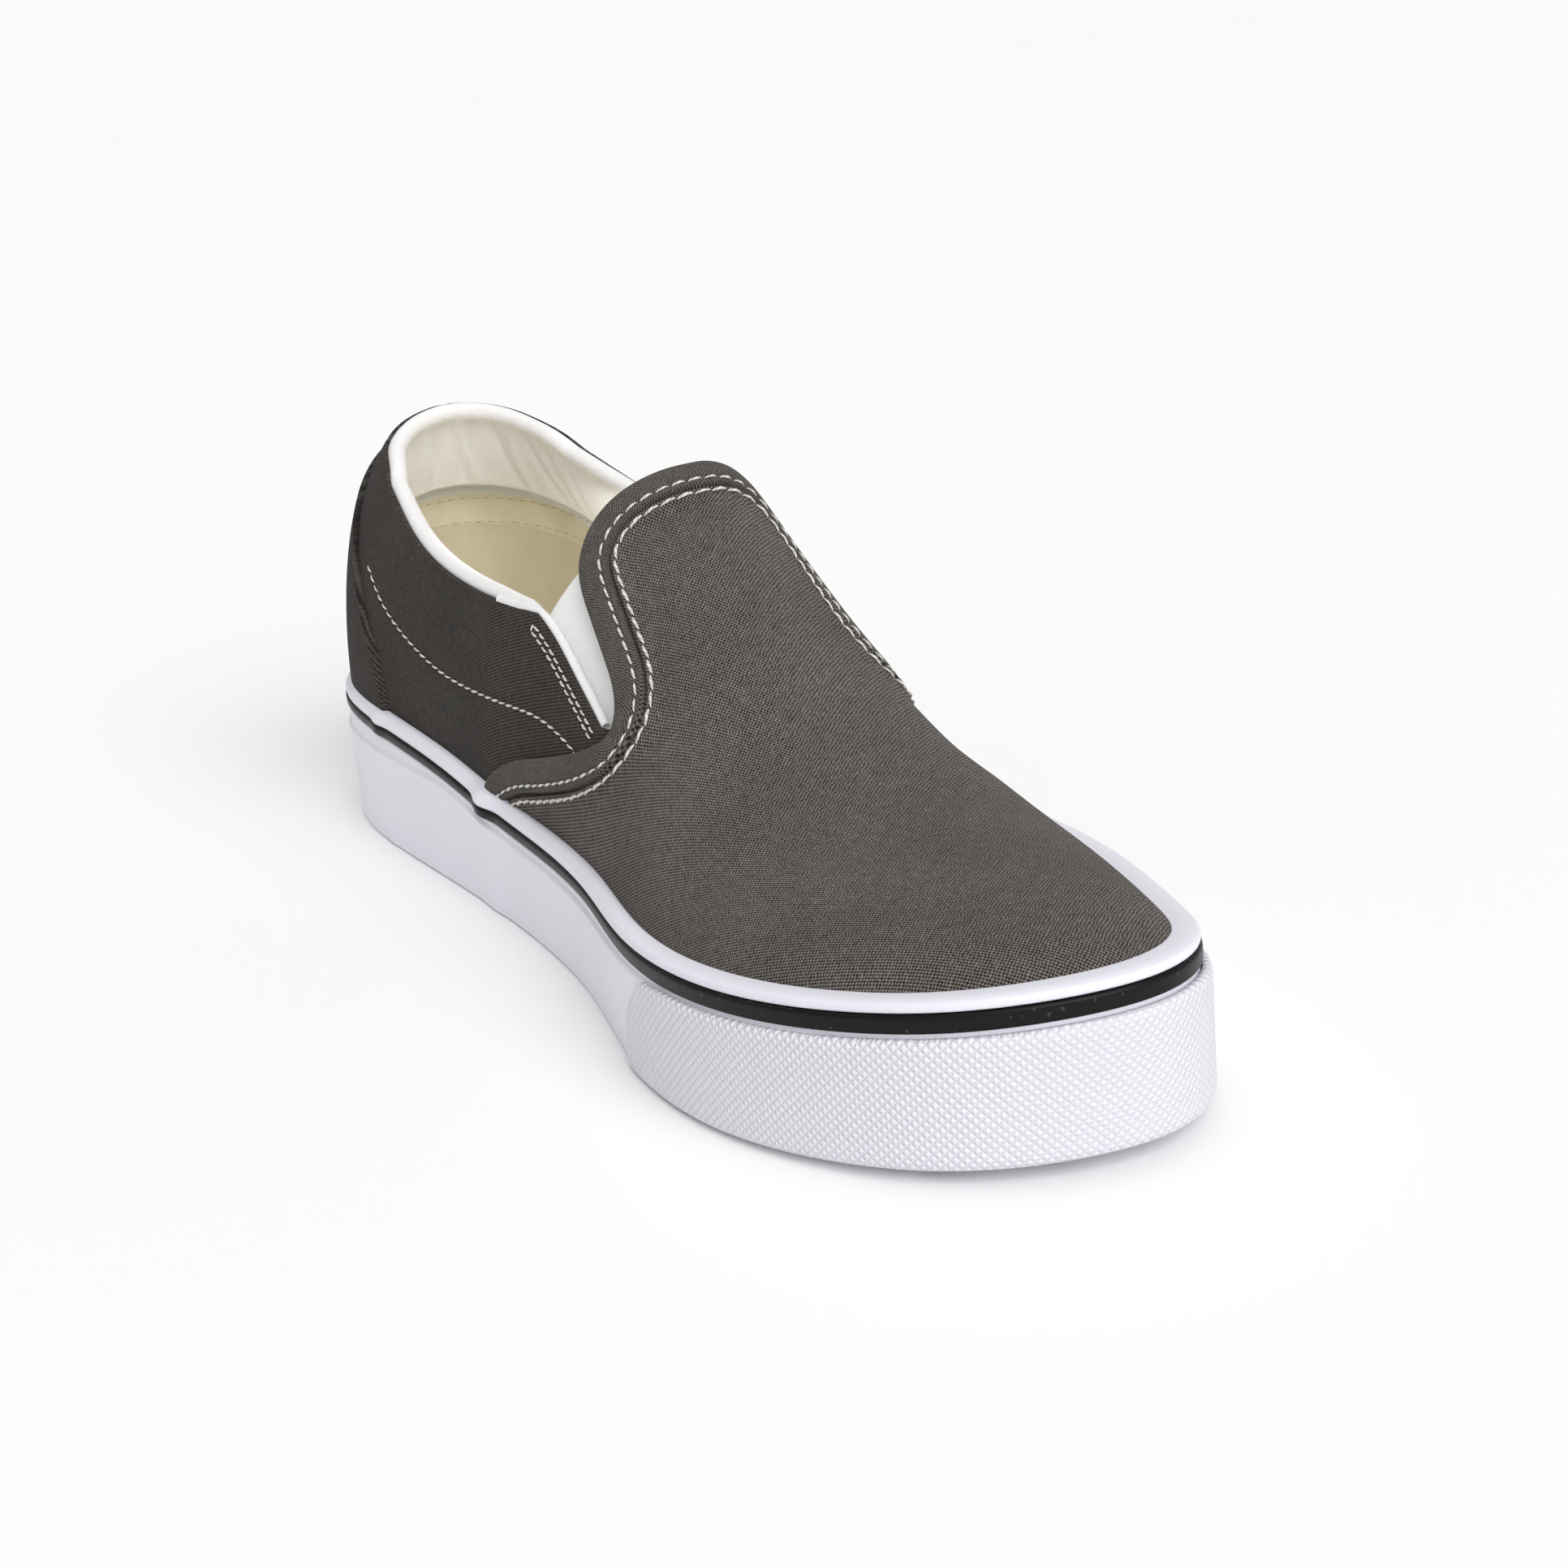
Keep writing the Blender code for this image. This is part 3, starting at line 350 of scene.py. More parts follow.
def at_height(x, height, side):
    """Pattern points on the heel's rays or the sections whose height on the last is the one asked for."""
    x, height = np.asarray(x, float), np.asarray(height, float)
    low, high = np.zeros_like(x), np.ones_like(x)
    centre, angles, lengths = FANS[-1]
    angle = side * np.arccos(np.clip((HEEL_X - x) / HEEL_X, -1, 1))
    length = np.interp(angle, angles, lengths)
    ray = np.stack([-length * np.cos(angle), length * np.sin(angle)], -1)
    for _ in range(30):
        share = (low + high) / 2
        point = np.where((x < HEEL_X)[:, None], centre + ray * share[:, None], at_share(x, share, side))
        above = last_point(point)[:, 2] > height
        low, high = np.where(above, share, low), np.where(above, high, share)
    return point


def collar_line(side, count=25):
    """Pattern points of the collar edge from the back of the heel to the quarter's corner."""
    x = np.linspace(0, COLLAR[-1][0] * SOLE_LENGTH, 120)
    height = curve(COLLAR, x / SOLE_LENGTH) * HEEL_HEIGHT
    line = at_height(x, height, side)
    solid = last_point(line)
    run = np.r_[0, np.cumsum(np.linalg.norm(np.diff(solid, axis=0), axis=1))]
    at = np.linspace(0, run[-1], count)
    return np.stack([np.interp(at, run, line[:, k]) for k in range(2)], 1)


def table_line(table, side, count):
    """Pattern points of a smooth line through rows (share of the length, share down the wall)."""
    rows = np.array(table)
    knots = np.arange(len(rows), dtype=float)
    fine = curve(np.c_[knots, rows], np.linspace(0, knots[-1], 300))
    line = at_share(fine[:, 0] * SOLE_LENGTH, np.clip(fine[:, 1], 0, 1), side)
    solid = last_point(line)
    run = np.r_[0, np.cumsum(np.linalg.norm(np.diff(solid, axis=0), axis=1))]
    at = np.linspace(0, run[-1], count)
    return np.stack([np.interp(at, run, line[:, k]) for k in range(2)], 1)


def shift_line(line, distance):
    """A pattern line moved sideways over the last by a real distance, to the left of its run."""
    solid = last_point(line)
    tangent = np.gradient(solid, axis=0)
    tangent /= np.linalg.norm(tangent, axis=1)[:, None]
    out = line.copy()
    steps = 6
    for _ in range(steps):
        small = 0.4 * MM
        here = last_point(out)
        by_x = (last_point(out + [small, 0]) - here) / small
        by_y = (last_point(out + [0, small]) - here) / small
        normal = np.cross(by_x, by_y)
        normal /= np.linalg.norm(normal, axis=1)[:, None]
        left = np.cross(normal, tangent)
        # least squares: pattern step whose image is the sideways step
        a, b, c = (by_x * by_x).sum(1), (by_x * by_y).sum(1), (by_y * by_y).sum(1)
        p, q = (by_x * left).sum(1), (by_y * left).sum(1)
        det = a * c - b * b
        out = out + np.stack([(c * p - b * q) / det, (a * q - b * p) / det], 1) * distance / steps
    return out

# ---- Meshes ----
SHIFT = np.array(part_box("foxing")[0])
SHIFT[:2] -= sole_outline(STATIONS).min(0)
SHIFT[2] = -0.0


def surface(points, loop_rows=False, loop_cols=False, uv=None, caps=False):
    """Quads over a grid of points; uv is a matching grid in millimetres, one longer where it closes."""
    rows, cols = points.shape[:2]
    i = np.arange(rows if loop_rows else rows - 1)[:, None]
    j = np.arange(cols if loop_cols else cols - 1)[None]
    corners = [(i, j), (i + 1, j), (i + 1, j + 1), (i, j + 1)]
    faces = np.stack([(a % rows) * cols + b % cols for a, b in corners], -1).reshape(-1, 4)
    if uv is None:
        uv = points[..., :2] / MM
    tall = max(0, rows + 1 - uv.shape[0])
    wide = max(0, cols + 1 - uv.shape[1])
    uv = np.pad(uv, ((0, tall), (0, wide), (0, 0)), mode="wrap")
    places = np.stack([uv[a + 0 * b, b + 0 * a] for a, b in corners], -2).reshape(-1, 4, 2)
    flat = points.reshape(-1, 3)
    a, b, c, d = (flat[faces[:, k]] for k in range(4))
    volume = np.einsum("ij,ij->i", a, np.cross(b, c)).sum() + np.einsum("ij,ij->i", a, np.cross(c, d)).sum()
    ends = []
    if caps:
        ends = [list(range(cols))[::-1], [(rows - 1) * cols + k for k in range(cols)]]
        if loop_rows:
            ends = [[k * cols for k in range(rows)], [k * cols + cols - 1 for k in range(rows)][::-1]]
    return {"points": flat, "faces": faces, "uv": places, "ends": ends, "flip": volume < 0}


def piece(name, parts, finishes, stands_for=(), values=None, finish_of=None, smooth=True):
    """One object from surfaces; values are named numbers for each point, finish_of a finish number for each face."""
    start, points, faces, places = 0, [], [], []
    for part in parts:
        own = part["faces"] + start
        uv = part["uv"]
        ends = [[k + start for k in end] for end in part["ends"]]
        if part["flip"]:
            own, uv = own[:, ::-1], uv[:, ::-1]
            ends = [end[::-1] for end in ends]
        faces += own.tolist() + ends
        places.append(uv.reshape(-1, 2))
        for end in part["ends"]:
            places.append(np.zeros((len(end), 2)))
        points.append(part["points"])
        start += len(part["points"])
    mesh = bpy.data.meshes.new(name)
    mesh.from_pydata((np.vstack(points) + SHIFT).tolist(), [], faces)
    layer = mesh.uv_layers.new(name="cloth")
    layer.data.foreach_set("uv", np.vstack(places).astype(np.float32).ravel())
    for key, value in (values or {}).items():
        made = mesh.attributes.new(key, "FLOAT", "POINT")
        made.data.foreach_set("value", np.asarray(value, np.float32).ravel())
    for finish in finishes:
        mesh.materials.append(finish)
    if finish_of is not None:
        mesh.polygons.foreach_set("material_index", np.asarray(finish_of, np.int32))
    mesh.polygons.foreach_set("use_smooth", np.full(len(mesh.polygons), smooth))
    mesh.update()
    made = bpy.data.objects.new(name, mesh)
    bpy.context.scene.collection.objects.link(made)
    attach(made, "root")
    if stands_for:
        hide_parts(*stands_for)
    return made


def run_of(points):
    """Length along a line of points up to each of them."""
    return np.r_[0, np.cumsum(np.linalg.norm(np.diff(points, axis=0), axis=1))]


def spread(line, count):
    """A pattern line resampled evenly by its real length on the last."""
    run = run_of(last_point(line))
    at = np.linspace(0, run[-1], count)
    return np.stack([np.interp(at, run, line[:, k]) for k in range(2)], 1)


def cloth_uv(pattern):
    """Cloth coordinates in mm: out from the spine along each ray by the real length on the last."""
    start, end, share = rays(pattern)
    steps = np.linspace(0, 1, 15)
    way = start[..., None, :] + (end - start)[..., None, :] * (share[..., None] * steps)[..., None]
    line = last_point(way)
    arc = np.linalg.norm(np.diff(line, axis=-2), axis=-1).sum(-1)
    ray = pattern - start
    length = np.maximum(np.linalg.norm(ray, axis=-1, keepdims=True), 1e-9)
    return (start + ray / length * arc[..., None]) / MM


def distance_to(points, line):
    """Distance of each point from a line of points in space."""
    start, span = line[:-1], np.diff(line, axis=0)
    size = np.maximum((span ** 2).sum(1), 1e-18)
    best = np.full(len(points), 1e9)
    for low in range(0, len(points), 4000):
        part = points[low:low + 4000]
        along = np.einsum("ijk,jk->ij", part[:, None] - start, span) / size
        near = start + span * np.clip(along, 0, 1)[..., None]
        best[low:low + 4000] = np.linalg.norm(part[:, None] - near, axis=-1).min(1)
    return best


def dip(distance, width):
    """A soft groove: 1 on the line, falling as exp(-(d / width) squared)."""
    return np.exp(-(distance / width) ** 2)


def vamp_edge(side, count):
    """The vamp's edge from the sole up to the tongue's middle."""
    return table_line(VAMP_EDGE[::-1], side, count)


def gore_foot_of(line):
    """Where the quarter's front edge meets the vamp's edge, as a row of the vamp's edge."""
    share = rays(line)[2]
    return int(np.argmin(np.abs(share - GORE_FOOT) + (line[:, 0] < 0.56 * SOLE_LENGTH)))


def strip_top(x):
    """Height of the white strip's top edge at x."""
    return side_rise(x) + STRIPE_HEIGHT + STRIP_HEIGHT


# ---- Upper: one hollow canvas wall ----
TOE_INDEX = int(np.argmin(np.abs(FEATHER[:, 1] - spine_y(TOE_X)) + (FEATHER[:, 0] < 0.9 * SOLE_LENGTH)))
HALVES = {-1: FEATHER[:TOE_INDEX + 1][::-1], 1: np.vstack([FEATHER[TOE_INDEX:], FEATHER[:1]])}
# Columns of the upper's grid along tongue, gore cut and collar on each side, and where they land
TONGUE_COLS, CUT_COLS, COLLAR_COLS = 150, 46, 124
FOOT_LANDS, CORNER_LANDS = 0.665, 0.475
CUT_STITCHES = 2.5 * MM, 3.8 * MM  # two rows beside the gore
QUARTER_SEAM = (
    # along, down the wall: the single stitched curve on the quarter
    (0.165, 0.655), (0.205, 0.722), (0.265, 0.785), (0.338, 0.817), (0.420, 0.790), (0.480, 0.752), (0.530, 0.735), (0.553, 0.735),
)


def matched_lines():
    """The opening's edge and the feather line, point for point, from the toe's middle right round."""
    halves = []
    for side in (-1, 1):
        edge = vamp_edge(side, 400)
        tongue = spread(edge[gore_foot_of(edge):][::-1], TONGUE_COLS)
        cut = spread(np.vstack([tongue[-1:], table_line(QUARTER_EDGE, side, 60)[::-1]]), CUT_COLS + 1)[1:]
        collar = spread(collar_line(side, 160)[::-1], COLLAR_COLS + 1)[1:]
        opening = np.vstack([tongue, cut, collar])
        half = HALVES[side]
        foot = np.argmin(np.abs(half[:, 0] - FOOT_LANDS * SOLE_LENGTH))
        corner = np.argmin(np.abs(half[:, 0] - CORNER_LANDS * SOLE_LENGTH))
        place = np.r_[
            foot * np.linspace(0, 1, TONGUE_COLS) ** 2.0,
            foot + (corner - foot) * np.linspace(0, 1, CUT_COLS + 1)[1:],
            corner + (len(half) - 1 - corner) * np.linspace(0, 1, COLLAR_COLS + 1)[1:],
        ]
        feather = np.stack([np.interp(place, np.arange(len(half)), half[:, k]) for k in range(2)], 1)
        halves.append((opening, feather))
    (outer, outer_foot), (inner, inner_foot) = halves
    opening = np.vstack([outer, inner[::-1][1:-1]])
    feather = np.vstack([outer_foot, inner_foot[::-1][1:-1]])
    return opening, feather


def crease_depth(points):
    """Soft folds of the worn-in cloth, in metres: long troughs given one by one, each a gaussian across."""
    depth = np.zeros(len(points))
    for x0, y0, x1, y1, width, deep in CREASES:
        a, b = np.array([x0, y0]) * MM, np.array([x1, y1]) * MM
        span = b - a
        along = ((points[:, :2] - a) @ span) / (span @ span)
        near = a + span * np.clip(along, 0, 1)[:, None]
        across = np.linalg.norm(points[:, :2] - near, axis=1)
        ends = np.clip(1.6 * (1 - np.abs(2 * along - 1)), 0, 1)
        depth += deep * MM * ends * np.exp(-(across / (width * MM)) ** 2)
    return depth


CREASES = (
    # from x, y to x, y in plan; width; depth; all mm, a minus sign is a ridge
    (178, -30, 205, -8, 9, 0.5),
    (190, -36, 216, -14, 8, -0.35),
    (182, 36, 210, 14, 9, 0.45),
    (196, 40, 222, 20, 8, -0.3),
    (60, -44, 96, -40, 7, 0.35),
    (70, 44, 100, 40, 7, 0.35),
)


def build_upper():
    """Rows run up the outside from the feather line, round the cut edge and down the inside."""
    opening, feather = matched_lines()
    outside = np.linspace(1, 0, 84)
    inside = np.linspace(0, 1, 34)
    share = np.r_[outside, 0, 0, 0, inside]
    off = np.r_[np.zeros(84), -0.3, -0.9, -1.5, np.full(34, -1.8)] * MM
    pattern = opening[:, None] + (feather - opening)[:, None] * share[None, :, None]
    cols, rows = pattern.shape[:2]
    flat = pattern.reshape(-1, 2)
    base = last_point(flat)
    depth = crease_depth(base)
    for side in (-1, 1):
        seam = last_point(table_line(QUARTER_SEAM, side, 80))
        away = distance_to(base, seam)
        depth += 0.32 * MM * dip(away, 0.9 * MM) - 0.10 * MM * dip(away, 4 * MM)
        cut = last_point(table_line(QUARTER_EDGE, side, 60))
        away = distance_to(base, cut)
        hem = 1 / (1 + np.exp((away - 5.0 * MM) / (0.35 * MM)))
        depth -= 0.35 * MM * hem
        depth += 0.25 * MM * dip(away - CUT_STITCHES[0], 0.5 * MM) + 0.25 * MM * dip(away - CUT_STITCHES[1], 0.5 * MM)
    depth = depth.reshape(cols, rows)
    fade = np.zeros(rows)
    fade[:84] = 1
    offs = off[None] - depth * fade[None]
    points = on_last(flat, offs.ravel()).reshape(cols, rows, 3)
    # the folded edge swells a little towards the opening
    outward = opening - feather
    outward /= np.linalg.norm(outward, axis=1)[:, None]
    swell = np.zeros(rows)
    swell[84:87] = (0.25 * MM, 0.4 * MM, 0.25 * MM)
    points[:, :, :2] += outward[:, None] * swell[None, :, None]
    uv = cloth_uv(pattern)
    inner = points[:, 87:]
    below = np.concatenate([np.zeros((cols, 1)), np.cumsum(np.linalg.norm(np.diff(inner, axis=1), axis=2), 1)], 1)
    values = np.zeros((cols, rows))
    values[:, 87:] = below / MM
    made = surface(points, loop_rows=True, loop_cols=True, uv=uv)
    # cells behind the vamp's edge are quarter; the border between the two lies under the hem
    edge = vamp_edge(-1, 400)
    edge = edge[:gore_foot_of(edge)]
    border = np.interp(-rays(flat)[2], -rays(edge)[2], edge[:, 0]) + 3 * MM
    behind_tongue = np.zeros(cols, bool)
    behind_tongue[TONGUE_COLS:cols - TONGUE_COLS] = True
    quarter = flat[:, 0].reshape(cols, rows) < border.reshape(cols, rows)
    quarter &= behind_tongue[:, None]
    # the quarter's cells take finish 2, the canvas painted darker as painted shade
    finish = np.where(quarter, 2, 0)
    finish[:, 87:-1] = 1
    return piece("canvas_upper", [made], [canvas, inner_canvas, canvas_with_painted_shade], ("upper",),
                 values={"below": values}, finish_of=finish.ravel())


# ---- Folded edge of the vamp, with its groove ----
BAND = (
    # across from the edge, height above the last, mm
    (0.0, -0.35), (-0.50, 0.05), (-0.65, 0.65), (-0.4, 1.25), (0.15, 1.62), (1.0, 1.80), (2.0, 1.82), (3.1, 1.74),
    (3.9, 1.62), (4.3, 1.38), (4.7, 1.30), (5.1, 1.40), (5.6, 1.52), (5.95, 1.40), (6.15, 0.9), (6.3, 0.10),
    (6.6, 0.05), (6.85, 0.75), (7.2, 1.02), (7.6, 0.92), (7.95, 0.78), (8.4, 0.70), (9.2, 0.42), (10.3, 0.10),
    (11.4, -0.25), (11.4, -0.6), (5.5, -0.6),
)
BAND_STITCH, VAMP_STITCH = 4.7 * MM, 7.95 * MM


def band_lines(side, count):
    """The vamp's edge from the white strip to the tongue's middle, and how it lands on each side."""
    line = vamp_edge(side, count * 3)
    line = line[last_point(line)[:, 2] > strip_top(line[:, 0]) - 1.5 * MM]
    line = spread(line, count)
    line[-1, 1] = spine_y(line[-1, 0])
    return line


def hem_line(count):
    """The vamp's edge from the white strip on the outer side, over the tongue, to the one on the inner side."""
    outer, inner = (band_lines(side, count) for side in (-1, 1))
    return spread(smooth_line(np.vstack([outer, inner[::-1][1:]]), 10), 2 * count)


def hem_row(line, across):
    """The hem's line moved across onto the vamp, kept above the feather line."""
    row = shift_line(line, -across)
    start, end, share = rays(row)
    return np.where((share > 0.985)[:, None], start + (end - start) * 0.985, row)


def smooth_line(line, times):
    """The line with its corners eased by repeated averaging, its ends kept."""
    line = line.copy()
    for _ in range(times):
        line[1:-1] = 0.25 * line[:-2] + 0.5 * line[1:-1] + 0.25 * line[2:]
    return line


def build_hem():
    """The band's section carried along the vamp's edge, each corner moved across the last and off it."""
    rows = np.array(BAND)
    run = np.r_[0, np.cumsum(np.linalg.norm(np.diff(rows, axis=0), axis=1))]
    fine = np.unique(np.r_[np.linspace(0, run[-3], 60), run])
    section = np.stack([np.interp(fine, run, rows[:, k]) for k in range(2)], 1)
    line = hem_line(210)
    steps = np.linspace(-1.0, 11.4, 19)
    lines = np.stack([hem_row(line, step * MM) for step in steps], 1)
    table = np.stack([np.array([np.interp(section[:, 0], steps, lines[i, :, k]) for k in range(2)]).T
                      for i in range(len(line))])
    flat = table.reshape(-1, 2)
    high = np.tile(section[:, 1], len(line)) * MM
    along = run_of(last_point(line))
    pull = 0.06 * MM * np.sin(2 * np.pi * along / (3.8 * MM))[:, None] * dip(section[:, 0] * MM - BAND_STITCH, 0.8 * MM)
    points = on_last(flat, high - pull.ravel()).reshape(len(line), -1, 3)
    uv = np.stack(np.broadcast_arrays(along[:, None] / MM, section[None, :, 0]), -1)
    # on the vamp's side the weave runs on from the vamp's own
    hem = section[:, 0] < 6.4
    uv = np.where(hem[None, :, None], uv, cloth_uv(table))
    made = surface(points, loop_cols=True, uv=uv, caps=True)
    finish = np.zeros((len(line) - 1, len(section)), int)
    finish[:, ~hem] = 1
    finish = np.r_[finish.ravel(), 0, 0]
    return piece("vamp_hem", [made], [hem_canvas, canvas],
                 ("vamp_band_lateral", "vamp_band_medial"), finish_of=finish)


# ---- Stitches ----
def stitches(line, off, pitch, length, radius, lean=0.0, start=0.0):
    """Thread spindles along a pattern line: radius R sin(pi a)^0.4, arched over the cloth, ends sunk in it."""
    solid, above = on_last(line, off), on_last(line, off + 1.0 * MM)
    normals = (above - solid) / MM
    run = run_of(solid)
    count = int((run[-1] - start) / pitch)
    a = np.linspace(0, 1, 9)
    at = start + (np.arange(count)[:, None] + 0.5) * pitch + (a[None] - 0.5) * length

    def follow(values):
        return np.stack([np.interp(at, run, values[:, k]) for k in range(3)], -1)

    centre, normal = follow(solid), follow(normals)
    tangent = np.gradient(centre, axis=1)
    tangent /= np.linalg.norm(tangent, axis=2, keepdims=True)
    side = np.cross(normal, tangent)
    arch = np.sin(np.pi * a)
    jitter = 1 + 0.12 * np.sin(np.arange(count) * 2.39)[:, None]
    size = radius * np.maximum(arch, 0.02) ** 0.4 * jitter
    centre = centre + normal * ((arch ** 0.6 - 0.45) * radius * 1.1)[None, :, None]
    centre = centre + side * (lean * (a - 0.5))[None, :, None]
    turn = np.linspace(0, 2 * np.pi, 6, endpoint=False)
    around = np.cos(turn)[:, None] * side[:, :, None] + 0.75 * np.sin(turn)[:, None] * normal[:, :, None]
    points = centre[:, :, None] + around * size[:, :, None, None]
    parts = []
    for one in points:
        uv = np.stack(np.broadcast_arrays(a[:, None] * length / MM, turn[None] * radius / MM), -1)
        parts.append(surface(one, loop_cols=True, uv=uv, caps=True))
    return parts


# ---- Heel stay ----
def build_stay():
    """A canvas patch round the heel: a grid across and up, its four edges rolled down to the quarters."""
    rows = np.array(STAY_EDGE)
    up_count, across_count = 60, 120
    height = np.linspace(rows[0, 1], rows[-1, 1], up_count)
    edge_x = curve(rows[:, [1, 0]], height) * SOLE_LENGTH
    rise = np.linspace(0, 1, up_count)
    top = HEEL_HEIGHT - LINING_GAP - 2 * MM
    across = np.linspace(-1, 1, across_count)
    angle = across[None] * np.arccos(np.clip((HEEL_X - edge_x) / HEEL_X, -1, 1))[:, None]
    x_here = HEEL_X * (1 - np.cos(angle))
    foot = strip_top(x_here) - 1.0 * MM - height[0] * HEEL_HEIGHT
    crown = (top - height[-1] * HEEL_HEIGHT) * (1 - across[None] ** 2)
    z_here = height[:, None] * HEEL_HEIGHT + foot * (1 - rise[:, None]) + crown * rise[:, None]
    outer = at_height(x_here.ravel(), z_here.ravel(), -1).reshape(up_count, across_count, 2)
    inner = at_height(x_here.ravel(), z_here.ravel(), 1).reshape(up_count, across_count, 2)
    flat = np.where((angle < 0)[..., None], outer, inner)
    solid = last_point(flat)
    wide = np.stack([run_of(row) for row in solid])
    edge = np.minimum(wide, wide[:, -1:] - wide)
    edge = np.minimum(edge, (1 - rise[:, None]) * (solid[-1, :, 2] - solid[0, :, 2])[None])
    lift = OVERLAY_THICKNESS * np.sqrt(np.clip(1 - (1 - np.clip(edge / (0.9 * MM), 0, 1)) ** 2, 0, 1))
    lift = lift - 0.06 * MM * dip(edge - 2.2 * MM, 0.5 * MM)
    points = on_last(flat.reshape(-1, 2), (OVERLAY_GAP - 0.5 * MM + lift + 0.45 * MM * (lift > 0)).ravel())
    points = points.reshape(up_count, across_count, 3)
    back = on_last(flat.reshape(-1, 2), -0.1 * MM).reshape(up_count, across_count, 3)
    shell = np.concatenate([points, back[:, ::-1]], 1)
    uv = np.stack([(wide - wide[:, -1:] / 2) / MM, solid[..., 2] / MM], -1)
    uv = np.concatenate([uv, uv[:, ::-1]], 1)
    made = surface(shell, loop_cols=True, uv=uv, caps=True)
    # the stay takes the canvas painted darker as painted shade
    return piece("canvas_heel_stay", [made], [canvas_with_painted_shade], ("heel_stay",))


# ---- Padded collar ----
LINING_DROP = 19.5 * MM
ROLL_START = -0.9 * MM  # the roll starts inside the canvas edge, which stays in sight
ROLL_SHARE = 0.6  # share of the pad that the roll covers
WRINKLES = (
    # place along the collar from the heel's middle, lean per mm of drop, width, depth, mm; minus is a ridge
    (-21, 0.10, 1.3, 0.55), (-14, -0.22, 1.5, 0.5), (-9, 0.30, 1.2, -0.35), (-4, 0.05, 1.4, 0.6),
    (2, 0.25, 1.3, -0.4), (6, -0.15, 1.5, 0.6), (12, 0.30, 1.4, 0.55), (17, 0.12, 1.6, -0.4),
    (22, 0.35, 1.6, 0.6), (28, 0.2, 1.8, 0.5), (35, 0.1, 2.2, 0.35), (-30, -0.2, 2.0, 0.4), (-38, -0.1, 2.2, 0.3),
)


def drop_rows(edge, drop, parts):
    """Pattern lines at given shares of a drop in height below the collar's edge."""
    solid = last_point(edge)
    start, end, share = rays(edge)
    out = []
    for part in parts:
        height = solid[:, 2] - drop * part
        low, high = share.copy(), np.ones(len(edge))
        for _ in range(30):
            test = (low + high) / 2
            above = last_point(start + (end - start) * test[:, None])[:, 2] > height
            low, high = np.where(above, test, low), np.where(above, high, test)
        out.append(start + (end - start) * low[:, None] if part > 0 else edge)
    return np.stack(out, 1)


def collar_edge(count):
    """The collar's edge from just short of one quarter's corner round the heel to the other's."""
    ends = [spread(collar_line(side, 160), count) for side in (-1, 1)]
    return np.vstack([ends[0][::-1], ends[1][1:]])


def build_collar():
    """A closed section carried round the collar: a roll over the canvas edge, then the padded lining."""
    edge = collar_edge(150)
    solid = last_point(edge)
    run = run_of(solid)
    place = run - run[len(run) // 2]
    floor = side_rise(solid[:, 0]) + INSOLE_THICKNESS + 8 * MM
    drop = np.minimum(LINING_DROP, solid[:, 2] - floor)
    ease = np.clip((run[-1] / 2 - np.abs(place)) / (22 * MM), 0, 1)
    ease = ease * ease * (3 - 2 * ease)
    thick = 1.2 * MM + (COLLAR_PAD - 1.2 * MM) * ease
    steps = np.linspace(0, 1, 26)
    rows = drop_rows(edge, drop, steps)
    up = last_point(rows[:, 0]) - last_point(rows[:, 3])
    up /= np.linalg.norm(up, axis=1)[:, None]
    face = -UPPER_WALL - LINING_GAP
    normal = (on_last(edge, 1 * MM) - on_last(edge, 0.0)) / MM
    # the roll: half an ellipse from the canvas edge over to the lining's inner face
    turn = np.linspace(0, np.pi, 17)
    tail = np.sqrt(np.clip((run[-1] / 2 - np.abs(place)) / (6 * MM), 0.02, 1))
    roll = (COLLAR_ROLL * (0.60 + 0.24 * ease) * tail)[:, None]
    half = (0.5 * (ROLL_START - face + thick * ROLL_SHARE) * (0.4 + 0.6 * tail))[:, None]
    middle = ROLL_START - half
    out = middle + half * np.cos(turn)
    rise = roll * np.sin(turn) ** 0.8
    arc = solid[:, None] + normal[:, None] * out[..., None] + up[:, None] * (rise + 0.35 * MM)[..., None]
    # the lining: full in its middle, thin at its sewn foot
    pad = 0.4 + 0.6 * np.sin(np.pi * np.clip(0.18 + 0.80 * (1 - steps), 0, 1)) ** 0.7
    depth = np.zeros((len(edge), len(steps)))
    fade = np.sin(np.pi * np.clip(0.05 + 0.95 * steps, 0, 1)) ** 0.6
    for where, lean, width, deep in WRINKLES:
        centre = (where + lean * steps * 20) * MM
        depth += 1.5 * deep * MM * np.exp(-((place[:, None] - centre[None]) / (0.75 * width * MM)) ** 2) * fade[None]
    offs = face - thick[:, None] * (ROLL_SHARE * (1 - steps) ** 6 + pad * (1 - (1 - steps) ** 6)) + depth
    flat = rows.reshape(-1, 2)
    inner = on_last(flat, offs.ravel()).reshape(len(edge), -1, 3)
    back = on_last(flat, face).reshape(len(edge), -1, 3)[:, ::-1]
    points = np.concatenate([arc, inner[:, 1:], back[:, :-1]], 1)
    lengths = np.r_[0, np.cumsum(np.linalg.norm(np.diff(points[len(edge) // 2], axis=0), axis=1))]
    uv = np.stack(np.broadcast_arrays(run[:, None] / MM, lengths[None] / MM), -1)
    made = surface(points, loop_cols=True, uv=uv, caps=True)
    collar = piece("padded_collar", [made], [lining], ("collar",))
    return collar


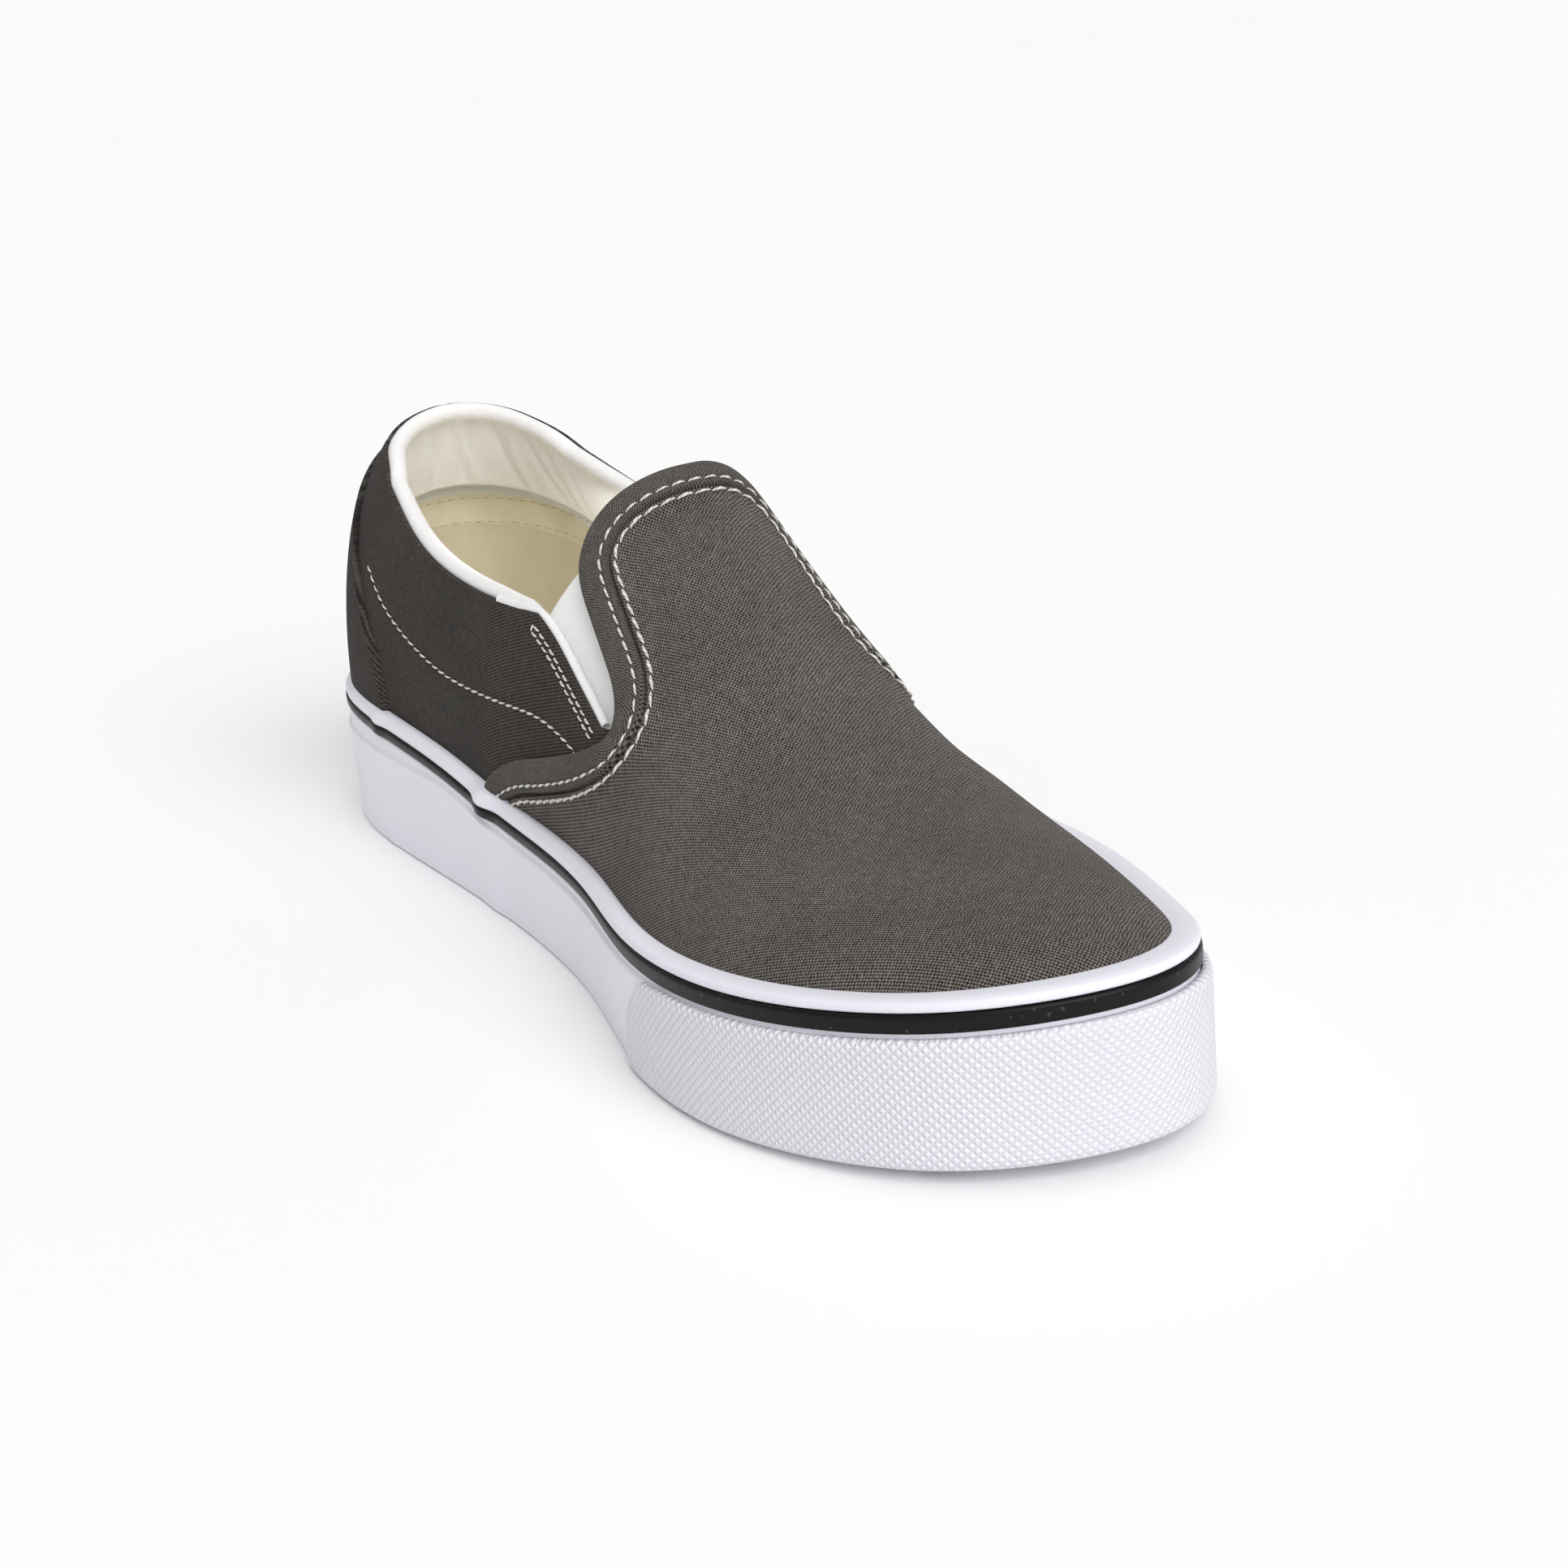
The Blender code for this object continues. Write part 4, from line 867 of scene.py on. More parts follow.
def build_edging():
    """A thin white binding beside each gore: a flat oval carried from the collar's corner to the gore's foot."""
    parts = []
    for side in (-1, 1):
        line = spread(table_line(QUARTER_EDGE, side, 60), 70)
        corner = collar_line(side, 160)[-22:]
        line = spread(np.vstack([corner[:-1], line]), 90)
        line = smooth_line(line, 16)
        turn = np.linspace(0, 2 * np.pi, 12, endpoint=False)
        away = 0.35 * MM + 1.0 * MM * np.cos(turn)
        offs = -0.75 * MM + 0.85 * MM * np.sin(turn)
        rows = np.stack([shift_line(line, -side * a) for a in away], 1)
        points = on_last(rows.reshape(-1, 2), np.tile(offs, len(line))).reshape(len(line), -1, 3)
        run = run_of(points[:, 0])
        uv = np.stack(np.broadcast_arrays(run[:, None] / MM, turn[None]), -1)
        parts.append(surface(points, loop_cols=True, uv=uv, caps=True))
    return piece("gore_binding", parts, [lining])


# ---- Elastic gores ----
def build_gore(side, name, node):
    """The elastic wedge between quarter and tongue, ruled between two lapped lines, its top edge rolled."""
    back = spread(table_line(QUARTER_EDGE, side, 60), 60)
    edge = vamp_edge(side, 400)
    tongue = edge[gore_foot_of(edge):]
    reach = int(np.argmin(np.abs(rays(tongue)[2] - 0.31)))
    front = spread(tongue[:reach + 1], 60)[::-1]
    lap = GORE_LAP * np.linspace(0, 1, 60)[:, None]
    back = shift_line(back, side * (lap + 0.4 * MM))
    front = shift_line(front, -side * GORE_LAP)
    t = np.linspace(0, 1, 40)
    flat = back[:, None] + (front - back)[:, None] * t[None, :, None]
    sag = 0.5 * MM * np.sin(np.pi * t)[None]
    face = -UPPER_WALL - 0.3 * MM - sag + 0 * flat[..., 0]
    thick = GORE_THICKNESS * np.sqrt(np.clip(1 - (1 - np.clip(np.arange(60) / 3, 0, 1)) ** 2, 0.02, 1))[:, None]
    middle = face - GORE_THICKNESS / 2
    high = on_last(flat.reshape(-1, 2), (middle + thick / 2).ravel()).reshape(60, 40, 3)
    low = on_last(flat.reshape(-1, 2), (middle - thick / 2).ravel()).reshape(60, 40, 3)
    points = np.concatenate([high, low[:, ::-1]], 1)
    solid = last_point(flat)
    across = np.linalg.norm(np.diff(solid, axis=1), axis=2).sum(1)
    down = run_of(solid[:, 20])
    uv = np.stack([(t[None] - 0.5) * across[:, None], down[:, None] + 0 * t[None]], -1) / MM
    uv = np.concatenate([uv, uv[:, ::-1]], 1)
    made = surface(points, loop_cols=True, uv=uv, caps=True)
    return piece(name, [made], [elastic], (node,))


# ---- Rubber bands round the sole ----
RING = 480
LOOP = sole_outline(RING)
BULGES = (
    # share of the length, side, width and height in mm: where a strip runs over a thick seam
    (0.402, -1, 4.2, 1.7), (0.402, 1, 4.2, 1.7), (0.208, -1, 3.2, 0.75), (0.208, 1, 3.2, 0.75),
)


STRIPE_EXTRA = 1.0 * MM  # how much lower the stripe reaches round the toe
STRIP_SINK = 1.1 * MM  # how much lower the white strip's lip is there


def bulge(scale):
    """How far a strip is pushed out at each station by the seams under it."""
    out = np.zeros(len(LOOP))
    for along, side, width, high in BULGES:
        near = dip(LOOP[:, 0] - along * SOLE_LENGTH, width * MM)
        out += high * MM * near * (LOOP[:, 1] * side > 0)
    return out * scale


def ring_piece(name, rows, finish, nodes, push=0.0, extra=None):
    """A section carried round the sole; rows are (inset, height) for each corner of the section."""
    blank = np.zeros(len(LOOP))
    insets = np.stack([blank + a for a, _ in rows], 1)
    heights = np.stack([blank + b for _, b in rows], 1)
    insets = insets - bulge(push)[:, None] * (insets < 2.2 * MM)
    points = np.empty((len(LOOP), len(rows), 3))
    for k in range(len(rows)):
        points[:, k, :2] = inset(LOOP, insets[:, k])
        points[:, k, 2] = heights[:, k]
    if extra is not None:
        points = extra(points)
    run = run_of(np.vstack([LOOP, LOOP[:1]]))
    up = run_of(points[0])
    uv = np.stack(np.broadcast_arrays(run[:, None] / MM, np.r_[up, up[-1]][None] / MM), -1)
    made = surface(points, loop_rows=True, loop_cols=True, uv=uv)
    return piece(name, [made], [finish], nodes)


def rounded(corners, radius, steps=4):
    """A section's corners (inset, height), each cut by a short curve of that radius."""
    out = []
    count = len(corners)
    for k in range(count):
        before, here, after = (np.stack(np.broadcast_arrays(*corners[(k + d) % count]), -1) for d in (-1, 0, 1))
        back, front = before - here, after - here
        a, b = (np.linalg.norm(v, axis=-1, keepdims=True) for v in (back, front))
        size = np.minimum(np.minimum(radius, 0.45 * a), 0.45 * b)
        start, end = here + back / a * size, here + front / b * size
        for t in np.linspace(0, 1, steps):
            point = start * (1 - t) ** 2 + here * 2 * t * (1 - t) + end * t ** 2
            out.append((point[..., 0], point[..., 1]))
    return out


def build_foxing():
    """White side wall: a thicker outer layer up to the moulded line, a bare wall above it."""
    low = floor_lift(LOOP[:, 0]) + 0.3 * MM
    high = side_rise(LOOP[:, 0]) - CLEARANCE / 2
    line = np.minimum(RIDGE_HEIGHT, high - 1.8 * MM)
    blank = np.zeros(len(LOOP))
    inner = blank + FOXING_WALL
    corners = [(inner, low), (blank, low), (blank - 0.05 * MM, line - 0.7 * MM), (blank - 0.22 * MM, line - 0.2 * MM),
               (blank + 0.1 * MM, line + 0.1 * MM), (blank + RIDGE_STEP, line + 0.45 * MM),
               (blank + RIDGE_STEP, high), (inner, high)]
    return ring_piece("white_side_wall", rounded(corners, 0.55 * MM), white_rubber, ("foxing",), 0.25)


def toe_share(x):
    """0 behind the ball, 1 round the toe, with a smooth step between."""
    t = np.clip((x / SOLE_LENGTH - 0.60) / 0.18, 0, 1)
    return t * t * (3 - 2 * t)


def build_stripe():
    """The black rubber stripe: a bead with a rounded face, proud of the wall, wider round the toe."""
    low = side_rise(LOOP[:, 0]) + CLEARANCE / 2 - 0.1 * MM - STRIPE_EXTRA * toe_share(LOOP[:, 0])
    high = side_rise(LOOP[:, 0]) + STRIPE_HEIGHT - CLEARANCE / 2 + 0.1 * MM
    out = np.zeros(len(LOOP)) + RIDGE_STEP - 0.5 * MM
    inner = np.zeros(len(LOOP)) + FOXING_WALL
    corners = [(inner, low), (out, low), (out, high), (inner, high)]
    return ring_piece("black_rubber_stripe", rounded(corners, 0.8 * MM, 7), black_rubber,
                      ("black_stripe",), 0.8)


def wall_inset(loop, rise):
    """How far inside each outline station the upper's face is, at a rise above the feather line."""
    feather = inset(loop, UPPER_INSET)
    start, end, _ = rays(feather)
    low, high = np.zeros(len(loop)), np.ones(len(loop))
    for _ in range(30):
        test = (low + high) / 2
        point = on_last(start + (end - start) * test[:, None], 0.0)
        above = point[:, 2] > side_rise(feather[:, 0]) + rise
        low, high = np.where(above, test, low), np.where(above, high, test)
    outward_step = loop - inset(loop, 1.0)
    return ((loop - point[:, :2]) * outward_step).sum(1)


def build_strip():
    """The white strip above the stripe: a rounded bead leaning in to meet the canvas."""
    low = side_rise(LOOP[:, 0]) + STRIPE_HEIGHT + CLEARANCE / 2 - 0.1 * MM
    sink = STRIP_SINK * toe_share(LOOP[:, 0])
    high = low + STRIP_HEIGHT - CLEARANCE + 0.1 * MM - sink
    out = np.zeros(len(LOOP)) + RIDGE_STEP - 0.2 * MM
    inner = np.maximum(wall_inset(LOOP, STRIPE_HEIGHT + STRIP_HEIGHT - sink), FOXING_WALL)
    corners = [(np.full(len(LOOP), FOXING_WALL), low), (out, low), (out - 0.1 * MM, low + 0.55 * STRIP_HEIGHT),
               (out + 1.6 * MM, high + 0.15 * MM), (inner + 0.2 * MM, high - 0.1 * MM), (inner + 0.6 * MM, low)]
    return ring_piece("white_top_strip", rounded(corners, 1.1 * MM, 7), white_rubber,
                      ("top_strip",), 1.0)


def build_bumper():
    """The toe guard: a thin skin over the wall, its two rear edges leaning forward and rolled down."""
    loop = sole_outline(STATIONS * 8)
    toe = np.flatnonzero(loop[:, 0] > 0.705 * SOLE_LENGTH)
    rows, tall = 420, 40
    path = even(loop[toe], rows)
    tangent = np.gradient(path, axis=0)
    tangent /= np.linalg.norm(tangent, axis=1)[:, None]
    outward = np.stack([tangent[:, 1], -tangent[:, 0]], 1)
    height = np.linspace(0, 1, tall)
    low = floor_lift(path[:, 0]) + 0.4 * MM
    high = side_rise(path[:, 0]) - 0.5 * MM - STRIPE_EXTRA * toe_share(path[:, 0])
    z = low[:, None] + (high - low)[:, None] * height
    run = run_of(path)
    lean = 0.04 * SOLE_LENGTH * height ** 2.2
    fade_a = np.clip(1 - run / (18 * MM), 0, 1)[:, None]
    fade_b = np.clip(1 - (run[-1] - run) / (18 * MM), 0, 1)[:, None]
    along = run[:, None] + lean[None] * (fade_a - fade_b)
    plan = np.stack([np.interp(along, run, path[:, k]) for k in range(2)], -1)
    out = np.stack([np.interp(along, run, outward[:, k]) for k in range(2)], -1)
    edge = np.minimum(run, run[-1] - run)[:, None]
    edge = np.minimum(edge, 0.7 * np.minimum(z - low[:, None], high[:, None] - z) + 0.15 * MM)
    lift = BUMPER_THICKNESS * np.sqrt(np.clip(1 - (1 - np.clip(edge / (1.2 * MM), 0, 1)) ** 2, 0, 1))
    face = np.concatenate([plan + out * (0.05 * MM + lift)[..., None], z[..., None]], 2)
    back = np.concatenate([plan - out * 0.2 * MM, z[..., None]], 2)
    points = np.concatenate([face, back[:, ::-1]], 1)
    uv = np.stack(np.broadcast_arrays(along / MM, z / MM), -1)
    uv = np.concatenate([uv, uv[:, ::-1]], 1)
    made = surface(points, loop_cols=True, uv=uv, caps=True)
    return piece("textured_toe_guard", [made], [textured_rubber], ("toe_bumper",))


# ---- Tread and insole ----
def plan_rows(loop, shares):
    """Plan points from the long middle line out to the loop, by shares of the way."""
    count = len(loop)
    middle = np.stack([np.clip(loop[:, 0], 0.16 * SOLE_LENGTH, 0.84 * SOLE_LENGTH), np.zeros(count)], 1)
    middle[:, 1] = 0.4 * spine_y(middle[:, 0])
    return middle[:, None] + (loop - middle)[:, None] * shares[None, :, None]


def build_outsole():
    """The tread slab: square lugs on a 15 mm grid, each with fine ribs, as a height over the plan."""
    loop = inset(sole_outline(620), FOXING_WALL + CLEARANCE)
    shares = np.r_[0.0, np.linspace(0.02, 1, 62)]
    plan = plan_rows(loop, shares)
    x, y = plan[..., 0], plan[..., 1]

    def groove(value, pitch, width):
        off = np.abs((value / pitch) % 1 - 0.5) * pitch
        return 1 / (1 + np.exp(-(off - (pitch / 2 - width / 2)) / (0.22 * MM)))

    deep = np.maximum(groove(x, LUG_PITCH, LUG_GROOVE), groove(y + LUG_PITCH / 2, LUG_PITCH, LUG_GROOVE))
    ribs = 0.5 * (1 + np.cos(2 * np.pi * (x + y) / (3.0 * MM))) * (1 - deep)
    rim = np.clip((1 - shares) * 30 * MM / (2 * MM), 0, 1)[None]
    low = floor_lift(x) + (LUG_DEPTH * deep + 0.25 * MM * ribs) * rim
    under = np.concatenate([plan, low[..., None]], 2)
    top = np.concatenate([plan, (floor_lift(x) + OUTSOLE_THICKNESS)[..., None]], 2)
    points = np.concatenate([under, top[:, ::-1]], 1)
    uv = np.concatenate([plan, plan[:, ::-1]], 1) / MM
    made = surface(points, loop_rows=True, uv=uv)
    return piece("tread", [made], [sole_rubber], ("outsole",))


def build_insole():
    """The sock lining: a slab as wide as the upper's inside, its top slightly dished towards the heel."""
    feather = inset(sole_outline(360), UPPER_INSET)
    start, end, _ = rays(feather)
    low, high = np.zeros(len(feather)), np.ones(len(feather))
    for _ in range(30):
        test = (low + high) / 2
        point = on_last(start + (end - start) * test[:, None], -UPPER_WALL - LINING_GAP)
        above = point[:, 2] > side_rise(point[:, 0]) + INSOLE_THICKNESS
        low, high = np.where(above, test, low), np.where(above, high, test)
    loop = on_last(start + (end - start) * low[:, None], -UPPER_WALL - LINING_GAP)[:, :2]
    shares = np.linspace(0, 1, 40)
    plan = plan_rows(loop, shares)
    base = side_rise(plan[..., 0])
    dish = 0.8 * MM * (1 - shares ** 2)[None] * np.clip(1 - plan[..., 0] / (0.35 * SOLE_LENGTH), 0, 1)
    roll = 0.6 * MM * np.clip((shares - 0.93) / 0.07, 0, 1)[None] ** 2
    top = np.concatenate([plan, (base + INSOLE_THICKNESS - dish - roll)[..., None]], 2)
    low_face = np.concatenate([plan, base[..., None]], 2)
    points = np.concatenate([top, low_face[:, ::-1]], 1)
    uv = np.concatenate([plan, plan[:, ::-1]], 1) / MM
    made = surface(points, loop_rows=True, uv=uv)
    return piece("sock_lining", [made], [sock], ("insole",))


# ---- Materials ----
def srgb(code):
    """Linear colour of an sRGB hex value."""
    parts = np.array([int(code[k:k + 2], 16) for k in (1, 3, 5)]) / 255
    linear = np.where(parts <= 0.04045, parts / 12.92, ((parts + 0.055) / 1.055) ** 2.4)
    return (*linear.tolist(), 1.0)


def add(tree, kind, inputs=None, **settings):
    """Adds a node: settings are its properties; each input is a value to set or a socket to link."""
    made = tree.nodes.new(kind)
    for key, value in settings.items():
        setattr(made, key, value)
    for key, value in (inputs or {}).items():
        if isinstance(value, bpy.types.NodeSocket):
            tree.links.new(value, made.inputs[key])
        else:
            made.inputs[key].default_value = value
    return made


def start_material(name, **sockets):
    """A named material, its shader with the given constants, and its cloth coordinates in mm."""
    made = bpy.data.materials.new(name)
    made.use_nodes = True
    tree = made.node_tree
    shader = tree.nodes["Principled BSDF"]
    for key, value in sockets.items():
        shader.inputs[key.replace("_", " ")].default_value = value
    place = add(tree, "ShaderNodeUVMap", uv_map="cloth").outputs["UV"]
    return made, tree, shader, place


def mixed(tree, factor, a, b, blend="MIX"):
    """Colour between two colours or sockets."""
    made = add(tree, "ShaderNodeMix", data_type="RGBA", blend_type=blend)
    for index, value in ((0, factor), (6, a), (7, b)):
        if isinstance(value, bpy.types.NodeSocket):
            tree.links.new(value, made.inputs[index])
        else:
            made.inputs[index].default_value = value
    return made.outputs[2]


def thread_wave(tree, place, pitch, direction, distortion=2.6):
    """A wave of the given pitch in mm across the cloth coordinates, its lines slightly uneven."""
    scale = 2 * math.pi / (20 * pitch)
    wave = add(tree, "ShaderNodeTexWave", {"Vector": place, "Scale": scale, "Distortion": distortion, "Detail": 2.0,
                                           "Detail Scale": 1.6, "Detail Roughness": 0.6},
               wave_type="BANDS", bands_direction=direction)
    return wave.outputs["Fac"]


def weave(tree, place, pitch, twist=0.0):
    """Plain weave: over and under alternate, as 0.5 + 3.4 (a - 0.5) (b - 0.5) of two crossing thread waves."""
    turned = add(tree, "ShaderNodeMapping", {"Vector": place, "Rotation": (0, 0, twist)}).outputs["Vector"]
    a = thread_wave(tree, turned, pitch, "X")
    b = thread_wave(tree, turned, pitch, "Y")
    a0 = add(tree, "ShaderNodeMath", {0: a, 1: 0.5}, operation="SUBTRACT").outputs[0]
    b0 = add(tree, "ShaderNodeMath", {0: b, 1: 0.5}, operation="SUBTRACT").outputs[0]
    both = add(tree, "ShaderNodeMath", {0: a0, 1: b0}, operation="MULTIPLY").outputs[0]
    return add(tree, "ShaderNodeMath", {0: both, 1: 3.4, 2: 0.5}, operation="MULTIPLY_ADD",
               use_clamp=True).outputs[0], turned


def cotton(name, dark, light, pitch, twist, relief, slub=0.45, sheen=0.25, patch="#000000", patch_share=0.0):
    """Woven cotton: crossing threads, slubs along each, a little sheen from loose fibres."""
    made, tree, shader, place = start_material(
        name, Roughness=0.92, Sheen_Weight=sheen, Sheen_Roughness=0.55, Specular_IOR_Level=0.12)
    height, turned = weave(tree, place, pitch, twist)
    along = add(tree, "ShaderNodeMapping", {"Vector": turned, "Scale": (0.35, 2.2, 1.0)}).outputs["Vector"]
    across = add(tree, "ShaderNodeMapping", {"Vector": turned, "Scale": (2.2, 0.35, 1.0)}).outputs["Vector"]
    slub_a = add(tree, "ShaderNodeTexNoise", {"Vector": along, "Scale": 0.9, "Detail": 3.0}).outputs["Fac"]
    slub_b = add(tree, "ShaderNodeTexNoise", {"Vector": across, "Scale": 0.9, "Detail": 3.0}).outputs["Fac"]
    slubs = add(tree, "ShaderNodeMath", {0: slub_a, 1: slub_b}, operation="ADD").outputs[0]
    level = add(tree, "ShaderNodeMath", {0: slubs, 1: slub, 2: -slub}, operation="MULTIPLY_ADD").outputs[0]
    tone = add(tree, "ShaderNodeMath", {0: height, 1: level}, operation="ADD", use_clamp=True).outputs[0]
    wide = add(tree, "ShaderNodeTexNoise", {"Vector": place, "Scale": 0.045, "Detail": 2.0}).outputs["Fac"]
    broad = add(tree, "ShaderNodeMapRange", {"Value": wide, "From Min": 0.3, "From Max": 0.7,
                                             "To Min": 0.9, "To Max": 1.1}).outputs["Result"]
    # the colour follows the weave's height as well as the slubs: slubs give the yarn's own uneven tone, the lighter
    # crossings are painted highlight and the darker gaps painted shade
    colour = mixed(tree, tone, srgb(dark), srgb(light))
    if patch_share:
        spots = add(tree, "ShaderNodeTexNoise", {"Vector": place, "Scale": 0.06, "Detail": 3.0}).outputs["Fac"]
        part = add(tree, "ShaderNodeMapRange", {"Value": spots, "From Min": 0.45, "From Max": 0.7,
                                                "To Max": patch_share}).outputs["Result"]
        colour = mixed(tree, part, colour, srgb(patch))
    lit = add(tree, "ShaderNodeHueSaturation", {"Color": colour, "Value": broad}).outputs["Color"]
    tree.links.new(lit, shader.inputs["Base Color"])
    bump = add(tree, "ShaderNodeBump", {"Height": tone, "Strength": 0.75, "Distance": relief * MM})
    tree.links.new(bump.outputs["Normal"], shader.inputs["Normal"])
    return made, tree, shader, place, lit


# Cotton canvas, yarn-dyed charcoal and plain woven: matt, a pepper of lighter threads from the slubs, with painted
# highlight on the raised crossings and painted shade between the threads.
# Real threads lie 0.6 mm apart; they are drawn 0.8 mm apart so that they show.
canvas = cotton("cotton_canvas_charcoal", "#1c1a19", "#7e7771", 0.8, 0.12, 0.24, slub=0.7, sheen=0.05)[0]
# The quarters and the heel stay look darker from the side: the same canvas in darker colours, painted shade for the
# sides turned from the light
canvas_with_painted_shade = cotton("cotton_canvas_painted_shade_sides", "#12100f", "#57524e", 0.8, 0.12, 0.22, slub=0.7, sheen=0.03)[0]
# The same canvas folded over as a hem, its threads across the fold drawn closer together
hem_canvas = cotton("cotton_canvas_hem", "#1c1a19", "#75706a", 0.7, 0.0, 0.22, slub=0.6, sheen=0.05)[0]
# Thin cotton drill of the inside, undyed: warm sand, with a grey tape above it
inner_canvas, tree, shader, place, sand = cotton(
    "cotton_drill_inside", "#cdc4a8", "#e9e2cc", 0.55, 0.4, 0.10, slub=0.3, sheen=0.15)
below = add(tree, "ShaderNodeAttribute", attribute_name="below").outputs["Fac"]
tape = add(tree, "ShaderNodeMapRange", {"Value": below, "From Min": 27.0, "From Max": 27.3}).outputs["Result"]
seam = add(tree, "ShaderNodeMapRange", {"Value": below, "From Min": 35.0, "From Max": 35.6}).outputs["Result"]
lower = mixed(tree, seam, sand, mixed(tree, 0.5, sand, srgb("#c3baa0")))
tree.links.new(mixed(tree, tape, srgb("#dddcda"), lower), shader.inputs["Base Color"])


def rubber(name, code, rough, grain, mottle, speck=0.0, gloss=0.45):
    """Moulded rubber: smooth with a faint grain, its tone slightly cloudy."""
    made, tree, shader, place = start_material(name, Roughness=rough, Specular_IOR_Level=gloss)
    spot = add(tree, "ShaderNodeTexCoord").outputs["Object"]
    cloud = add(tree, "ShaderNodeTexNoise", {"Vector": spot, "Scale": 45.0, "Detail": 3.0}).outputs["Fac"]
    value = add(tree, "ShaderNodeMapRange", {"Value": cloud, "From Min": 0.3, "From Max": 0.7,
                                             "To Min": 1 - mottle, "To Max": 1 + mottle}).outputs["Result"]
    colour = add(tree, "ShaderNodeHueSaturation", {"Color": srgb(code), "Value": value}).outputs["Color"]
    if speck:
        dust = add(tree, "ShaderNodeTexNoise", {"Vector": spot, "Scale": 900.0, "Detail": 1.0}).outputs["Fac"]
        few = add(tree, "ShaderNodeMapRange", {"Value": dust, "From Min": 0.70, "From Max": 0.74,
                                               "To Max": speck}).outputs["Result"]
        colour = mixed(tree, few, colour, srgb("#8b8c92"))
    tree.links.new(colour, shader.inputs["Base Color"])
    fine = add(tree, "ShaderNodeTexNoise", {"Vector": spot, "Scale": 1400.0, "Detail": 2.0}).outputs["Fac"]
    bump = add(tree, "ShaderNodeBump", {"Height": fine, "Strength": 0.35, "Distance": grain * MM})
    tree.links.new(bump.outputs["Normal"], shader.inputs["Normal"])
    return made, tree, shader, place, bump


# Vulcanised white rubber, calendered strip: cool white, half gloss
white_rubber = rubber("vulcanised_rubber_white", "#ebebf4", 0.42, 0.05, 0.012)[0]
# The same rubber pressed with small pyramids in diagonal rows 1.2 mm apart
textured_rubber, tree, shader, place, grain = rubber("vulcanised_rubber_pyramids", "#efeef6", 0.5, 0.03, 0.01)
PYRAMID = 1.2
turned = add(tree, "ShaderNodeMapping", {"Vector": place, "Rotation": (0, 0, math.radians(45)),
                                         "Scale": (1.0, 1.0, 1.0)}).outputs["Vector"]
split = add(tree, "ShaderNodeSeparateXYZ", {"Vector": turned})
rows = [add(tree, "ShaderNodeMath", {0: split.outputs[axis], 1: PYRAMID / 2}, operation="PINGPONG").outputs[0]
        for axis in ("X", "Y")]
peak = add(tree, "ShaderNodeMath", {0: rows[0], 1: rows[1]}, operation="MINIMUM").outputs[0]
low_edge = add(tree, "ShaderNodeMath", {0: peak, 1: 2 / PYRAMID}, operation="MULTIPLY").outputs[0]
studs = add(tree, "ShaderNodeBump", {"Height": low_edge, "Strength": 1.0, "Distance": 0.35 * MM,
                                     "Normal": grain.outputs["Normal"]})
tree.links.new(studs.outputs["Normal"], shader.inputs["Normal"])
# the grooves between the pyramids are painted darker than their peaks: painted shade in the recesses
tree.links.new(mixed(tree, low_edge, srgb("#e2e1eb"), srgb("#f6f5fb")), shader.inputs["Base Color"])
# Black rubber piping: deep black, half gloss, a few grey specks of dust
black_rubber = rubber("vulcanised_rubber_black", "#0b0b0c", 0.4, 0.04, 0.08, speck=0.15, gloss=0.22)[0]
# Tread rubber, moulded, harder and a little greyer than the wall
sole_rubber = rubber("moulded_rubber_tread", "#d9d9de", 0.55, 0.08, 0.02)[0]
# Filler sponge under the insole, hidden inside
foam = rubber("sponge_filler", "#b9b29f", 0.85, 0.2, 0.05)[0]


def build_lining():
    """Brushed tricot over foam: smooth white, a very fine knit."""
    made, tree, shader, place = start_material(
        "brushed_tricot_white", Roughness=0.75, Sheen_Weight=0.3, Sheen_Roughness=0.4, Specular_IOR_Level=0.25)
    knit = thread_wave(tree, place, 0.5, "DIAGONAL", 2.0)
    spot = add(tree, "ShaderNodeTexCoord").outputs["Object"]
    nap = add(tree, "ShaderNodeTexNoise", {"Vector": spot, "Scale": 650.0, "Detail": 3.0}).outputs["Fac"]
    both = add(tree, "ShaderNodeMath", {0: knit, 1: 0.35, 2: nap}, operation="MULTIPLY_ADD").outputs[0]
    colour = mixed(tree, nap, srgb("#e9e7e6"), srgb("#f6f5f4"))
    tree.links.new(colour, shader.inputs["Base Color"])
    bump = add(tree, "ShaderNodeBump", {"Height": both, "Strength": 0.3, "Distance": 0.08 * MM})
    tree.links.new(bump.outputs["Normal"], shader.inputs["Normal"])
    return made


def build_elastic():
    """Woven elastic: fine ribs 0.9 mm apart down the gore, crossed by finer weft."""
    made, tree, shader, place = start_material(
        "woven_elastic_white", Roughness=0.85, Sheen_Weight=0.2, Sheen_Roughness=0.5, Specular_IOR_Level=0.2)
    ribs = thread_wave(tree, place, 0.9, "X", 0.3)
    weft = thread_wave(tree, place, 0.45, "Y", 0.3)
    both = add(tree, "ShaderNodeMath", {0: weft, 1: 0.3, 2: ribs}, operation="MULTIPLY_ADD").outputs[0]
    # the colour follows the ribs' height: painted shade between the ribs, painted highlight on their crowns
    colour = mixed(tree, both, srgb("#f4f4f4"), srgb("#fdfdfc"))
    tree.links.new(colour, shader.inputs["Base Color"])
    bump = add(tree, "ShaderNodeBump", {"Height": both, "Strength": 0.5, "Distance": 0.07 * MM})
    tree.links.new(bump.outputs["Normal"], shader.inputs["Normal"])
    return made


